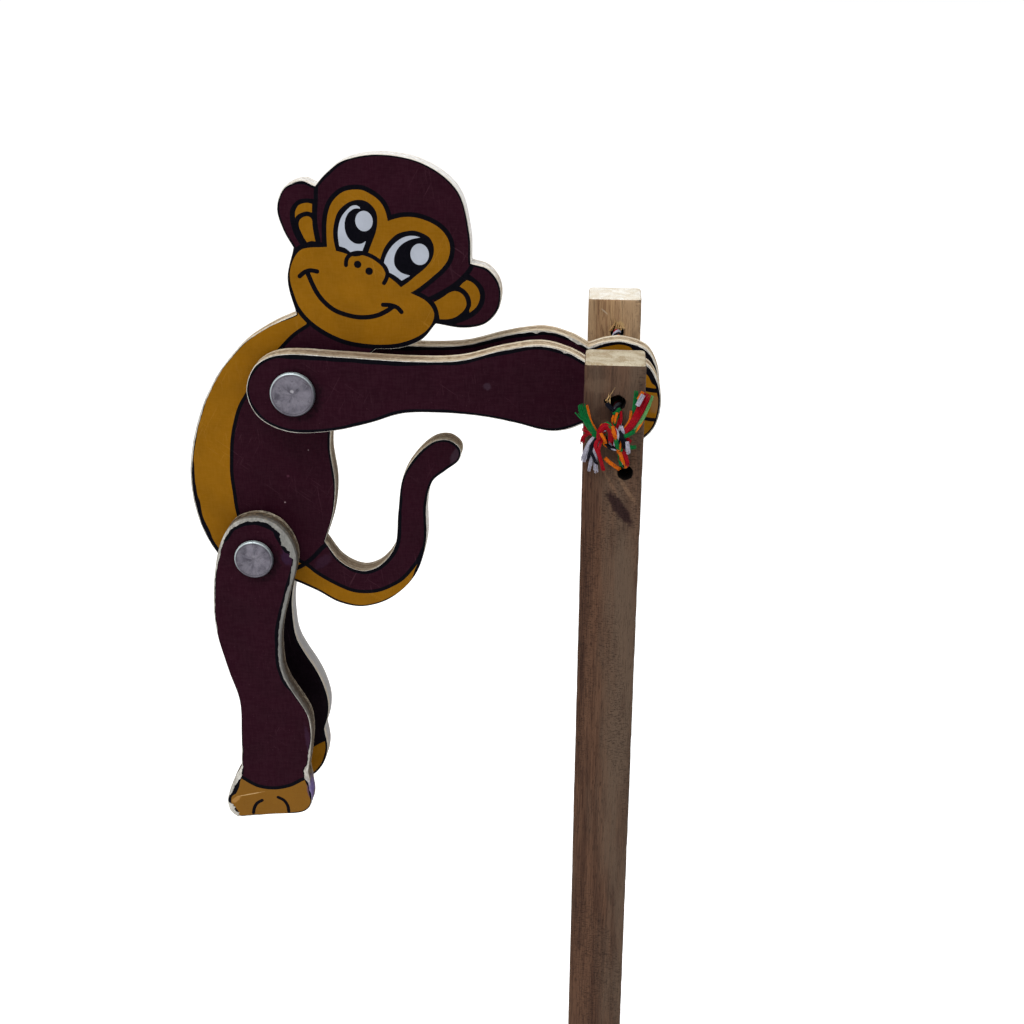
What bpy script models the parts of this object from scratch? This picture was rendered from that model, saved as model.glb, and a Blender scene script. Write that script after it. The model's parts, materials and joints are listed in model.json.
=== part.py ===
"""Acrobat toy: a jointed plywood monkey that swings on a string between two sticks.

Sizes are in millimetres. X runs along the arms towards the sticks, Y from the front
stick to the rear one, and Z up the sticks. The origin is the middle of the grip.
"""

import math

import bmesh
import bpy
from mathutils import Vector

MM = 0.001  # metres in a millimetre
TOUCH = 0.3  # gap left between pieces that touch

# Sticks and crossbar
POST_WIDTH = 12.0
POST_DEPTH = 11.0
POST_LENGTH = 300.0
POST_GAP = 42.0
POST_EDGE = 0.6
GRIP_HEIGHT = 45.0  # from the sticks' lower ends up to the middle of the grip
BAR_WIDTH = 12.0
BAR_HEIGHT = 12.0
BAR_DROP = 193.0  # from the string's axis down to the crossbar's middle
NAIL_RADIUS = 0.8
NAIL_LENGTH = 28.0
NAIL_POINT = 2.0
NAIL_HEAD_RADIUS = 2.4
NAIL_HEAD_THICKNESS = 0.8
POST_NAIL_PLAY = 0.5  # lets a stick rock on its nail

# String
STRING_RADIUS = 0.9
STRING_DROP = 15.0  # from the sticks' tops down to the string's axis
POST_HOLE_RADIUS = 1.4
POST_HOLE_SPACING = 14.5
UPPER_HOLE_X = 0.7  # the holes are drilled by eye, a little to one side
LOWER_HOLE_X = 2.6
STRING_BEND = 1.4
HAND_HOLE_RADIUS = 1.3
HAND_HOLE_SPACING = 10.0
KNOT_WIDTH = 5.2
KNOT_DEPTH = 3.6
KNOT_HEIGHT = 6.2
FRAY_RADIUS = 1.1
FRAY_TIP_RADIUS = 0.6

# Boards
BOARD = 4.8
BOARD_PLAY = 1.2  # running gap between neighbouring boards
ARM_REACH = 70.2  # shoulder rivet to string axis
HIP_BACK = 10.5
HIP_DROP = 38.8
LEG_LENGTH = 67.0  # hip rivet to sole
REAR_LEG_HOLE_DROP = 3.0  # the rear leg's hole is drilled lower, so that leg sits higher
REAR_LEG_TURN = 2.3  # degrees

# Rivets
RIVET_RADIUS = 1.5
RIVET_PLAY = 0.35
SHOULDER_HEAD_RADIUS = 4.9
HIP_HEAD_RADIUS = 4.4
HEAD_THICKNESS = 0.9
HEAD_ROUNDING = 0.5
BURR_RADIUS = 3.9
BURR_THICKNESS = 0.8
BURR_ROUNDING = 0.4
PEEN_RADIUS = 2.5
PEEN_HEIGHT = 1.0

# Counts of facets
ROUND = 40
HOLE_ROUND = 24
CUT_PAST = 1.0  # how far a drill runs past the faces it goes through
STEPS = 6  # points on an outline between two of its design points
SPAN_STEPS = 10  # stretches in a string between a stick and a hand
BEND_STEPS = 6  # stretches in a string's bend at a stick's face
FRAY_STEPS = 4
SHADE_ANGLE = 35.0  # degrees; sharper edges of turned metal stay crisp

CORNER = True  # marks an outline's sharp point

# An arm's outline seen from the front, in mm: its shoulder end from the shoulder rivet,
# then its hand end from the string's axis
ARM_SHOULDER_END = [
    (23.5, -3.9), (16.5, -6.2), (8.0, -8.3), (-1.5, -8.7), (-7.9, -5.5),
    (-10.1, 0.3), (-7.9, 6.0), (-2.5, 8.6), (10.0, 8.4), (26.0, 7.8),
]
ARM_HAND_END = [
    (-34.2, 8.3), (-25.2, 10.7), (-17.2, 11.9), (-11.2, 10.5), (-7.2, 8.4, CORNER),
    (-3.7, 9.6), (0.3, 9.9), (5.8, 7.8), (8.4, 1.5), (7.3, -5.6),
    (2.8, -9.7), (-1.7, -9.8), (-5.6, -7.4), (-7.4, -5.0, CORNER),
    (-11.4, -6.6), (-15.7, -6.9), (-22.2, -5.4), (-30.2, -4.0), (-39.2, -3.5),
]

# A leg's outline: its hip end from the hip rivet, then its foot end from the sole
LEG_HIP_END = [
    (4.7, -26.1), (4.9, -18.6), (7.0, -9.7), (9.3, -0.9), (8.4, 4.0), (5.2, 8.2),
    (0.4, 9.7), (-4.8, 7.8), (-8.1, 1.7), (-9.9, -8.8), (-9.9, -17.9), (-7.7, -28.2),
]
LEG_FOOT_END = [
    (-5.5, 30.5), (-5.6, 21.8), (-6.1, 13.0, CORNER), (-8.4, 8.6), (-10.0, 3.6),
    (-9.5, 0.4), (-7.9, -1.2, CORNER), (0.2, 0.0), (7.4, 0.8), (9.6, 2.2), (10.4, 4.4), (10.2, 8.2),
    (9.7, 12.2, CORNER), (10.5, 17.2), (11.0, 22.8), (10.5, 27.0), (8.9, 30.4), (6.9, 33.8), (5.3, 37.4),
]
# The rear leg was sawn by hand from the same drawing: its heel is rounder and its calf fuller
REAR_LEG_FOOT_END = [
    (-5.5, 30.5), (-5.6, 21.8), (-6.1, 13.0, CORNER), (-8.4, 8.6), (-10.0, 3.6),
    (-9.5, 0.4), (-7.9, -1.2, CORNER), (0.2, 0.0), (5.6, 0.6), (8.1, 2.9), (9.6, 5.8), (10.2, 9.2),
    (9.8, 13.6, CORNER), (11.0, 17.4), (11.3, 21.6), (10.3, 26.4), (8.9, 30.0), (6.9, 33.8), (5.3, 37.4),
]

# The outline of the board that holds torso, head and tail: the upper torso and the head
# from the shoulder rivet, then the lower torso and the tail from the hip rivet
BODY_SHOULDER_END = [
    (7.3, -22.6), (6.5, -13.6), (8.2, -3.6), (12.3, 4.2), (17.2, 8.6, CORNER),
    (22.7, 9.0), (27.2, 10.9), (30.3, 14.5, CORNER), (36.2, 13.7), (41.0, 14.8),
    (43.8, 18.2), (44.0, 22.9), (41.5, 26.5), (37.8, 27.7, CORNER), (37.6, 34.0), (35.2, 42.7),
    (28.5, 48.1), (19.5, 50.0), (11.6, 48.7), (7.6, 45.8), (5.4, 43.3, CORNER), (2.4, 44.4),
    (-1.3, 42.7), (-2.8, 38.4), (-1.6, 33.8), (0.3, 30.3, CORNER), (-1.3, 23.4), (0.3, 15.9, CORNER),
    (-6.1, 12.9), (-12.4, 8.4), (-18.9, 0.1), (-23.5, -10.8), (-25.4, -22.3),
]
BODY_HIP_END = [
    (-13.3, 5.2), (-8.5, -3.4), (-1.0, -7.6), (5.5, -7.5), (12.3, -10.1), (17.8, -13.1),
    (23.4, -13.9), (29.8, -11.5), (35.4, -5.6), (38.0, 2.6), (38.2, 11.4), (39.6, 17.2),
    (42.8, 20.1), (45.6, 22.5), (45.9, 25.1), (43.4, 27.1), (39.9, 26.6), (36.0, 23.1), (33.0, 17.9),
    (31.8, 9.6), (30.9, 1.5), (27.6, -3.3), (23.3, -5.0), (18.5, -2.9),
    (14.9, 2.0, CORNER), (17.0, 8.8),
]

# Frayed ends of the string on the front stick: root and tip, in mm from the string's axis
FRAYS = {
    "frayed_end_upper_left": ((-4.6, 1.6), (-8.0, 6.9)),
    "frayed_end_lower_left": ((-5.0, -1.6), (-6.4, -7.4)),
    "frayed_end_right": ((1.8, 1.8), (5.4, 9.2)),
}
KNOT_X = -1.2  # the knot's middle, beside the string's axis
KNOT_Z = 0.3

# Places worked out from the sizes above
TOP_Z = POST_LENGTH - GRIP_HEIGHT
AXIS_X = (UPPER_HOLE_X + LOWER_HOLE_X) / 2
AXIS_Z = TOP_Z - STRING_DROP
BAR_Z = AXIS_Z - BAR_DROP
INNER_Y = POST_GAP / 2
OUTER_Y = INNER_Y + POST_DEPTH
BODY_Y = BOARD / 2
LIMB_Y = BODY_Y + BOARD_PLAY + BOARD / 2  # middle of an arm's or a leg's thickness
STACK_Y = LIMB_Y + BOARD / 2
AXIS = Vector((AXIS_X, 0.0, AXIS_Z))
SHOULDER = AXIS + Vector((-ARM_REACH, 0.0, 0.0))
HIP = SHOULDER + Vector((-HIP_BACK, 0.0, -HIP_DROP))
UPPER_HOLE = Vector((UPPER_HOLE_X, 0.0, AXIS_Z + POST_HOLE_SPACING / 2))
LOWER_HOLE = Vector((LOWER_HOLE_X, 0.0, AXIS_Z - POST_HOLE_SPACING / 2))
WRIST_HOLE = AXIS + Vector((-HAND_HOLE_SPACING / 2, 0.0, 0.0))
FINGER_HOLE = AXIS + Vector((HAND_HOLE_SPACING / 2, 0.0, 0.0))


def clear_scene():
    for thing in list(bpy.data.objects):
        bpy.data.objects.remove(thing, do_unlink=True)


def make_material(name, colour, roughness, metallic=0.0):
    material = bpy.data.materials.new(name)
    material.use_nodes = True
    shader = material.node_tree.nodes["Principled BSDF"]
    shader.inputs["Base Color"].default_value = (*colour, 1.0)
    shader.inputs["Roughness"].default_value = roughness
    shader.inputs["Metallic"].default_value = metallic
    return material


def make_axis(name, at, parent=None):
    """An empty on a joint's axis, at a place in the world."""
    axis = bpy.data.objects.new(name, None)
    bpy.context.collection.objects.link(axis)
    seat(axis, at, parent)
    return axis


def seat(thing, at, parent=None):
    """Place an object at a world place in mm, under a parent that is not turned."""
    start = Vector((0.0, 0.0, 0.0))
    if parent is not None:
        thing.parent = parent
        start = Vector(parent["place"])
    thing["place"] = list(at)
    thing.location = (Vector(at) - start) * MM


def link_mesh(name, form, material, at, parent):
    """Turn a bmesh, in mm about its own origin, into a seated object."""
    bmesh.ops.scale(form, vec=(MM, MM, MM), verts=form.verts)
    bmesh.ops.recalc_face_normals(form, faces=form.faces)
    mesh = bpy.data.meshes.new(name)
    form.to_mesh(mesh)
    form.free()
    mesh.materials.append(material)
    thing = bpy.data.objects.new(name, mesh)
    bpy.context.collection.objects.link(thing)
    seat(thing, at, parent)
    return thing


def moved(points, across, up):
    """Design points shifted in the plane of the boards."""
    return [(x + across, z + up, *rest) for x, z, *rest in points]


def smooth_outline(points):
    """Closed curve through design points as (x, z) pairs, sharp only where marked."""
    count = len(points)
    curve = []
    for i in range(count):
        here = Vector(points[i][:2])
        there = Vector(points[(i + 1) % count][:2])
        before = Vector(points[i - 1][:2])
        after = Vector(points[(i + 2) % count][:2])
        span = (there - here).length
        leave = there - here
        arrive = there - here
        if len(points[i]) == 2:
            leave = (there - before) * span / ((here - before).length + span)
        if len(points[(i + 1) % count]) == 2:
            arrive = (after - here) * span / ((after - there).length + span)
        for step in range(STEPS):
            t = step / STEPS
            start_share = 2 * t**3 - 3 * t**2 + 1
            leave_share = t**3 - 2 * t**2 + t
            end_share = 3 * t**2 - 2 * t**3
            arrive_share = t**3 - t**2
            first_half = here * start_share + leave * leave_share
            curve.append(first_half + there * end_share + arrive * arrive_share)
    return curve


def drill(thing, holes, low_y, high_y):
    """Cut round holes along Y, each a centre in mm in the world and a radius."""
    form = bmesh.new()
    for centre, radius in holes:
        rim = []
        for step in range(HOLE_ROUND):
            turn = math.tau * step / HOLE_ROUND
            spot = (centre[0] + radius * math.cos(turn), low_y, centre[2] + radius * math.sin(turn))
            rim.append(form.verts.new(spot))
        core = bmesh.ops.extrude_face_region(form, geom=[form.faces.new(rim)])
        far = [v for v in core["geom"] if isinstance(v, bmesh.types.BMVert)]
        bmesh.ops.translate(form, vec=(0.0, high_y - low_y, 0.0), verts=far)
    cutter = link_mesh(thing.name + "_drill", form, thing.data.materials[0], (0.0, 0.0, 0.0), None)
    cutter.hide_render = True
    cutter.display_type = "WIRE"
    cut = thing.modifiers.new("drilled", "BOOLEAN")
    cut.operation = "DIFFERENCE"
    cut.solver = "EXACT"
    cut.object = cutter


def make_board(name, outline, middle_y, material, at, parent):
    """Saw a board to an outline in mm about its own origin, at one depth in the stack."""
    form = bmesh.new()
    rim = [form.verts.new((x, -BOARD / 2, z)) for x, z in outline]
    face = form.faces.new(rim)
    back = bmesh.ops.extrude_face_region(form, geom=[face])
    far = [v for v in back["geom"] if isinstance(v, bmesh.types.BMVert)]
    bmesh.ops.translate(form, vec=(0.0, BOARD, 0.0), verts=far)
    return link_mesh(name, form, material, (at[0], middle_y, at[2]), parent)


def make_post(name, side, material, parent):
    """One stick, with two string holes and a nail hole; side is -1 in front, 1 behind."""
    form = bmesh.new()
    bmesh.ops.create_cube(form, size=1.0)
    bmesh.ops.scale(form, vec=(POST_WIDTH, POST_DEPTH, POST_LENGTH), verts=form.verts)
    shift = Vector((0.0, side * POST_DEPTH / 2, TOP_Z - POST_LENGTH / 2 - BAR_Z))
    bmesh.ops.translate(form, vec=shift, verts=form.verts)
    post = link_mesh(name, form, material, (0.0, side * INNER_Y, BAR_Z), parent)
    edge = post.modifiers.new("worn edges", "BEVEL")
    edge.width = POST_EDGE * MM
    edge.segments = 2
    low_y, high_y = sorted((side * (INNER_Y - CUT_PAST), side * (OUTER_Y + CUT_PAST)))
    nail_hole = ((0.0, 0.0, BAR_Z), NAIL_RADIUS + POST_NAIL_PLAY)
    string_holes = [(UPPER_HOLE, POST_HOLE_RADIUS), (LOWER_HOLE, POST_HOLE_RADIUS)]
    drill(post, [*string_holes, nail_hole], low_y, high_y)


def make_crossbar(material, parent):
    form = bmesh.new()
    bmesh.ops.create_cube(form, size=1.0)
    length = POST_GAP - 2 * TOUCH
    bmesh.ops.scale(form, vec=(BAR_WIDTH, length, BAR_HEIGHT), verts=form.verts)
    bar = link_mesh("crossbar", form, material, (0.0, 0.0, BAR_Z), parent)
    edge = bar.modifiers.new("worn edges", "BEVEL")
    edge.width = POST_EDGE * MM
    edge.segments = 2
    drill(bar, [((0.0, 0.0, BAR_Z), NAIL_RADIUS + TOUCH)], -length / 2 - CUT_PAST, length / 2 + CUT_PAST)


def lathe(name, profile, side, material, at, parent):
    """Spin a profile of (radius, distance along Y) about Y; side mirrors it along Y."""
    form = bmesh.new()
    rim = [form.verts.new((radius, side * along, 0.0)) for radius, along in profile]
    closed = profile[0][0] > 0 and profile[-1][0] > 0
    edges = [form.edges.new(pair) for pair in zip(rim[:-1], rim[1:])]
    if closed:
        edges.append(form.edges.new((rim[-1], rim[0])))
    bmesh.ops.spin(form, geom=rim + edges, cent=(0.0, 0.0, 0.0), axis=(0.0, 1.0, 0.0),
                   angle=math.tau, steps=ROUND, use_duplicate=False)
    bmesh.ops.remove_doubles(form, verts=form.verts, dist=0.001)
    thing = link_mesh(name, form, material, at, parent)
    thing.data.shade_smooth()
    thing.data.set_sharp_from_angle(angle=math.radians(SHADE_ANGLE))
    return thing


def make_nail(name, side, material, parent):
    """A nail driven from a stick's outer face into the crossbar's end."""
    head = OUTER_Y + TOUCH
    tip = head - NAIL_LENGTH
    profile = [
        (0.0, head + NAIL_HEAD_THICKNESS),
        (NAIL_HEAD_RADIUS * 0.7, head + NAIL_HEAD_THICKNESS * 0.9),
        (NAIL_HEAD_RADIUS, head + NAIL_HEAD_THICKNESS * 0.4),
        (NAIL_HEAD_RADIUS, head),
        (NAIL_RADIUS, head),
        (NAIL_RADIUS, tip + NAIL_POINT),
        (0.0, tip),
    ]
    return lathe(name, profile, side, material, (0.0, 0.0, BAR_Z), parent)


def make_rivet(name, head_radius, material, at, parent):
    """A flat-headed rivet through three boards, its far end peened over the burr."""
    face = -STACK_Y - TOUCH
    far = STACK_Y + 2 * TOUCH + BURR_THICKNESS
    profile = [
        (0.0, face - HEAD_THICKNESS),
        (head_radius - HEAD_ROUNDING, face - HEAD_THICKNESS),
        (head_radius - HEAD_ROUNDING * 0.3, face - HEAD_THICKNESS + HEAD_ROUNDING * 0.3),
        (head_radius, face - HEAD_THICKNESS + HEAD_ROUNDING),
        (head_radius, face),
        (RIVET_RADIUS, face),
        (RIVET_RADIUS, far),
        (PEEN_RADIUS, far),
        (PEEN_RADIUS * 0.9, far + PEEN_HEIGHT * 0.5),
        (PEEN_RADIUS * 0.55, far + PEEN_HEIGHT * 0.9),
        (0.0, far + PEEN_HEIGHT),
    ]
    return lathe(name, profile, 1, material, at, parent)


def make_burr(name, material, at, parent):
    """The ring that a rivet's end is peened over, on the rear board."""
    near = STACK_Y + TOUCH
    bore = RIVET_RADIUS + TOUCH
    profile = [
        (bore, near),
        (BURR_RADIUS, near),
        (BURR_RADIUS, near + BURR_THICKNESS - BURR_ROUNDING),
        (BURR_RADIUS - BURR_ROUNDING, near + BURR_THICKNESS),
        (bore, near + BURR_THICKNESS),
    ]
    return lathe(name, profile, 1, material, at, parent)


def make_strand(name, places, radius, material, at, parent, tip_radius=None):
    """A stretch of string along world places in mm, as a curve with closed ends."""
    curve = bpy.data.curves.new(name, "CURVE")
    curve.dimensions = "3D"
    curve.bevel_depth = radius * MM
    curve.bevel_resolution = 2
    curve.use_fill_caps = True
    spline = curve.splines.new("POLY")
    spline.points.add(len(places) - 1)
    last = len(places) - 1
    for i, place in enumerate(places):
        spline.points[i].co = (*((Vector(place) - Vector(at)) * MM), 1.0)
        if tip_radius is not None:
            spline.points[i].radius = 1.0 + (tip_radius / radius - 1.0) * i / last
    curve.materials.append(material)
    strand = bpy.data.objects.new(name, curve)
    bpy.context.collection.objects.link(strand)
    seat(strand, at, parent)
    return strand


def loop_route(side):
    """String through a stick's two holes, along its outer face; side is -1 in front."""
    face_y = OUTER_Y + TOUCH + STRING_RADIUS
    route = []
    for hole, down in ((UPPER_HOLE, -1), (LOWER_HOLE, 1)):
        centre_y = face_y - STRING_BEND
        leg = [(hole.x, INNER_Y, hole.z), (hole.x, (INNER_Y + centre_y) / 2, hole.z)]
        for step in range(BEND_STEPS + 1):
            turn = math.radians(90) * step / BEND_STEPS
            y = centre_y + STRING_BEND * math.sin(turn)
            z = hole.z + down * STRING_BEND * (1 - math.cos(turn))
            leg.append((hole.x, y, z))
        route.append(leg)
    upper, lower = route
    whole = upper + lower[::-1]
    return [Vector((x, side * y, z)) for x, y, z in whole]


def span_route(post_hole, hand_hole, side):
    """String from a stick's inner face to a hand, easing across from hole to hole."""
    post_y = INNER_Y - TOUCH
    hand_y = STACK_Y + TOUCH
    route = []
    for i in range(SPAN_STEPS + 1):
        t = i / SPAN_STEPS
        ease = t * t * (3 - 2 * t)
        place = post_hole.lerp(hand_hole, ease)
        place.y = side * (post_y + (hand_y - post_y) * t)
        route.append(place)
    return route


def make_knot(material, parent, loop):
    """Swell the front loop of string into its knot with a joined, flattened ball."""
    at = (AXIS_X + KNOT_X, -(OUTER_Y + TOUCH + KNOT_DEPTH / 2), AXIS_Z + KNOT_Z)
    form = bmesh.new()
    bmesh.ops.create_icosphere(form, subdivisions=3, radius=0.5)
    bmesh.ops.scale(form, vec=(KNOT_WIDTH, KNOT_DEPTH, KNOT_HEIGHT), verts=form.verts)
    ball = link_mesh("knot_ball", form, material, at, None)
    ball.hide_render = True
    ball.display_type = "WIRE"
    join = loop.modifiers.new("knot", "BOOLEAN")
    join.operation = "UNION"
    join.solver = "EXACT"
    join.object = ball


def meshed(strand):
    """The same stretch of string as a mesh object, its caps welded on."""
    shaped = strand.evaluated_get(bpy.context.evaluated_depsgraph_get())
    tube = bpy.data.meshes.new_from_object(shaped)
    form = bmesh.new()
    form.from_mesh(tube)
    bmesh.ops.remove_doubles(form, verts=form.verts, dist=0.01 * MM)
    bmesh.ops.recalc_face_normals(form, faces=form.faces)
    form.to_mesh(tube)
    form.free()
    name, place, parent = strand.name, list(strand["place"]), strand.parent
    bpy.data.objects.remove(strand, do_unlink=True)
    solid = bpy.data.objects.new(name, tube)
    bpy.context.collection.objects.link(solid)
    seat(solid, place, parent)
    return solid


def make_sticks(wood, pale_wood, steel, root):
    make_crossbar(pale_wood, root)
    make_nail("front_nail", -1, steel, root)
    make_nail("rear_nail", 1, steel, root)
    for name, side in (("front_post", -1), ("rear_post", 1)):
        rocker = make_axis(name + "_rocker", (0.0, side * INNER_Y, BAR_Z), root)
        make_post(name, side, wood, rocker)


def make_figure(printed_board, rivet_metal, root):
    """Boards and rivets, each on the empty at its joint."""
    swing = make_axis("string_axis", AXIS, root)
    shoulder = make_axis("shoulder_axis", SHOULDER, swing)
    hip = make_axis("hip_axis", HIP, shoulder)
    arm_outline = smooth_outline(moved(ARM_SHOULDER_END, -ARM_REACH, 0.0) + ARM_HAND_END)
    body_outline = smooth_outline(BODY_SHOULDER_END + moved(BODY_HIP_END, -HIP_BACK, -HIP_DROP))
    front_leg_outline = smooth_outline(LEG_HIP_END + moved(LEG_FOOT_END, 0.0, -LEG_LENGTH))
    rear_leg_outline = smooth_outline(LEG_HIP_END + moved(REAR_LEG_FOOT_END, 0.0, -LEG_LENGTH))
    rear_leg_outline = [
        turned(point + Vector((0.0, REAR_LEG_HOLE_DROP)), REAR_LEG_TURN) for point in rear_leg_outline
    ]
    rivet_hole = RIVET_RADIUS + RIVET_PLAY
    for name, side in (("front_arm", -1), ("rear_arm", 1)):
        arm = make_board(name, arm_outline, side * LIMB_Y, printed_board, AXIS, swing)
        hand_holes = [(WRIST_HOLE, HAND_HOLE_RADIUS), (FINGER_HOLE, HAND_HOLE_RADIUS)]
        drill(arm, [(SHOULDER, rivet_hole), *hand_holes], side * LIMB_Y - BOARD, side * LIMB_Y + BOARD)
    body = make_board("body_board", body_outline, 0.0, printed_board, SHOULDER, shoulder)
    drill(body, [(SHOULDER, rivet_hole), (HIP, rivet_hole)], -BOARD, BOARD)
    for name, side, outline in (("front_leg", -1, front_leg_outline), ("rear_leg", 1, rear_leg_outline)):
        leg = make_board(name, outline, side * LIMB_Y, printed_board, HIP, hip)
        drill(leg, [(HIP, rivet_hole)], side * LIMB_Y - BOARD, side * LIMB_Y + BOARD)
    make_rivet("shoulder_rivet", SHOULDER_HEAD_RADIUS, rivet_metal, SHOULDER, swing)
    make_burr("shoulder_burr", rivet_metal, SHOULDER, swing)
    make_rivet("hip_rivet", HIP_HEAD_RADIUS, rivet_metal, HIP, hip)
    make_burr("hip_burr", rivet_metal, HIP, hip)
    return swing


def turned(point, degrees):
    """A point of an outline turned about its origin, towards the sticks for a leg."""
    turn = math.radians(degrees)
    x, z = point
    return Vector((x * math.cos(turn) - z * math.sin(turn), x * math.sin(turn) + z * math.cos(turn)))


def make_string(yarn, root, swing):
    front = bpy.data.objects["front_post_rocker"]
    rear = bpy.data.objects["rear_post_rocker"]
    loop = make_strand("string_front_knot", loop_route(-1), STRING_RADIUS, yarn, front["place"], front)
    make_knot(yarn, front, meshed(loop))
    make_strand("string_rear_loop", loop_route(1), STRING_RADIUS, yarn, rear["place"], rear)
    pairs = (("upper", UPPER_HOLE, WRIST_HOLE), ("lower", LOWER_HOLE, FINGER_HOLE))
    for level, post_hole, hand_hole in pairs:
        for place, side in (("front", -1), ("rear", 1)):
            route = span_route(post_hole, hand_hole, side)
            make_strand(f"string_{place}_{level}_span", route, STRING_RADIUS, yarn, AXIS, root)
    for name, hole in (("string_in_wrists", WRIST_HOLE), ("string_in_fingers", FINGER_HOLE)):
        ends = [Vector((hole.x, y, hole.z)) for y in (-STACK_Y, 0.0, STACK_Y)]
        make_strand(name, ends, STRING_RADIUS, yarn, AXIS, swing)
    fray_y = -(OUTER_Y + TOUCH + FRAY_RADIUS)
    for name, (start, tip) in FRAYS.items():
        places = []
        for i in range(FRAY_STEPS + 1):
            t = i / FRAY_STEPS
            x = start[0] + (tip[0] - start[0]) * t
            z = start[1] + (tip[1] - start[1]) * t
            places.append(Vector((AXIS_X + x, fray_y - t * (1 - t), AXIS_Z + z)))
        make_strand(name, places, FRAY_RADIUS, yarn, front["place"], front, FRAY_TIP_RADIUS)


def main():
    clear_scene()
    wood = make_material("brown_wood", (0.090, 0.055, 0.034), 0.75)
    pale_wood = make_material("pale_wood", (0.35, 0.25, 0.15), 0.75)
    board = make_material("printed_plywood", (0.045, 0.013, 0.020), 0.45)
    rivet_metal = make_material("grey_metal", (0.30, 0.28, 0.29), 0.45, 1.0)
    steel = make_material("nail_steel", (0.25, 0.24, 0.23), 0.4, 1.0)
    yarn = make_material("mixed_yarn", (0.35, 0.08, 0.05), 0.9)
    root = make_axis("grip", (0.0, 0.0, 0.0))
    make_sticks(wood, pale_wood, steel, root)
    swing = make_figure(board, rivet_metal, root)
    make_string(yarn, root, swing)


main()
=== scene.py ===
# %% [markdown]
# # An acrobat monkey between two sticks
# The toy is a plywood monkey whose hands hang on a string between two sticks. Squeezing the
# sticks below the crossbar pulls the string taut, and the monkey tumbles over it.
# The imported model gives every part's size, place and joint, so this script adds only looks:
# each visible piece is either a CAD part with a better finish, or a finer mesh in its place.

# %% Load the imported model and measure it
import json
import math
import bmesh
import bpy
import numpy as np
from mathutils import Matrix, Vector, noise
from mathutils.geometry import delaunay_2d_cdt

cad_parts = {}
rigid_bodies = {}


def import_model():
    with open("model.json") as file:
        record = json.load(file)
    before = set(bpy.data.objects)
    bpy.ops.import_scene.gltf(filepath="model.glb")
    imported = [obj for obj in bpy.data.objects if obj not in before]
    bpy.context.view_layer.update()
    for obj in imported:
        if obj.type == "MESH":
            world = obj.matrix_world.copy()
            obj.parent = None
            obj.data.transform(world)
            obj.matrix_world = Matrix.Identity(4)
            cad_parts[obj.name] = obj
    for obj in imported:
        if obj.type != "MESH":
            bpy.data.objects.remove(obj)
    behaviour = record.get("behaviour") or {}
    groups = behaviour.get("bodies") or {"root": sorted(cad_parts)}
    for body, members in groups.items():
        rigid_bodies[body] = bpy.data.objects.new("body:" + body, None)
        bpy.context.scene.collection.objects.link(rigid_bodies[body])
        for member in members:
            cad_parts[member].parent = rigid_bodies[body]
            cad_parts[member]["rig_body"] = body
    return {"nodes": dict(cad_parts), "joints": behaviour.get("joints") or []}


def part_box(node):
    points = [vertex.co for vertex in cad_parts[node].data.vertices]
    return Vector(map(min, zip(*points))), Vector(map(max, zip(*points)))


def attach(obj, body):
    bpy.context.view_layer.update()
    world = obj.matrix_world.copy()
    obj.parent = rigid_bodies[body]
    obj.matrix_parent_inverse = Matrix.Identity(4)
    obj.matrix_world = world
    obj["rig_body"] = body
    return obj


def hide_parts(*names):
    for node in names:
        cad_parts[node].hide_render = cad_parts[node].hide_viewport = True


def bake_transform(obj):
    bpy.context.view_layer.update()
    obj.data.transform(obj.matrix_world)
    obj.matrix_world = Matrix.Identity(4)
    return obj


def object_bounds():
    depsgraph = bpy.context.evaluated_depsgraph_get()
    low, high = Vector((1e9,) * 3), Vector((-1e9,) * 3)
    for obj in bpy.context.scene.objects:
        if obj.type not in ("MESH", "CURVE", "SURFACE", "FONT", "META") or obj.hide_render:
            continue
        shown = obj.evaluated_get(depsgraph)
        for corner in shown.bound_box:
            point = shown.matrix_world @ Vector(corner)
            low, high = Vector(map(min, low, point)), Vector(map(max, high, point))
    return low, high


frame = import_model()
cad_box = [list(corner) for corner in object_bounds()]
MM = 0.001
joint_at = {joint["name"]: Vector(joint["pos_m"]) / MM for joint in frame["joints"]}
AXIS = joint_at["arms_swing"]  # the middle of the string, in mm
SHOULDER = joint_at["torso_swing"]
HIP = joint_at["front_leg_swing"]
print("CAD box in mm:", [[round(v / MM, 1) for v in corner] for corner in cad_box])

# %% [markdown]
# ## The camera
# The picture was taken from a little above the monkey, close enough for the sticks to
# narrow downwards. The place, tilt and lens come from the sticks' edges: only one camera
# makes four parallel edges fall on the lines that the photograph shows.

# %% Place the camera
CAMERA_AT = Vector((-3.3, -323.8, 340.2))
PITCH, YAW, ROLL = (math.radians(angle) for angle in (21.76, -3.27, -0.42))
LENS_SHARE = 1552.2 / 1024  # focal length as a share of the picture's width
SENSOR = 36.0

forward = Vector((math.sin(YAW) * math.cos(PITCH), math.cos(YAW) * math.cos(PITCH), -math.sin(PITCH)))
level = Vector((math.cos(YAW), -math.sin(YAW), 0.0))
down = forward.cross(level)
right = level * math.cos(ROLL) + down * math.sin(ROLL)
down = down * math.cos(ROLL) - level * math.sin(ROLL)
lens = bpy.data.cameras.new("camera")
lens.sensor_width = SENSOR
lens.lens = SENSOR * LENS_SHARE
lens.clip_start = 0.01
camera = bpy.data.objects.new("camera", lens)
bpy.context.collection.objects.link(camera)
turn = Matrix((right, -down, -forward)).transposed().to_4x4()
camera.matrix_world = Matrix.Translation(CAMERA_AT * MM) @ turn
bpy.context.scene.camera = camera
bpy.context.scene.view_settings.view_transform = "Standard"
print("camera lens", round(lens.lens, 2), "mm")

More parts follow.
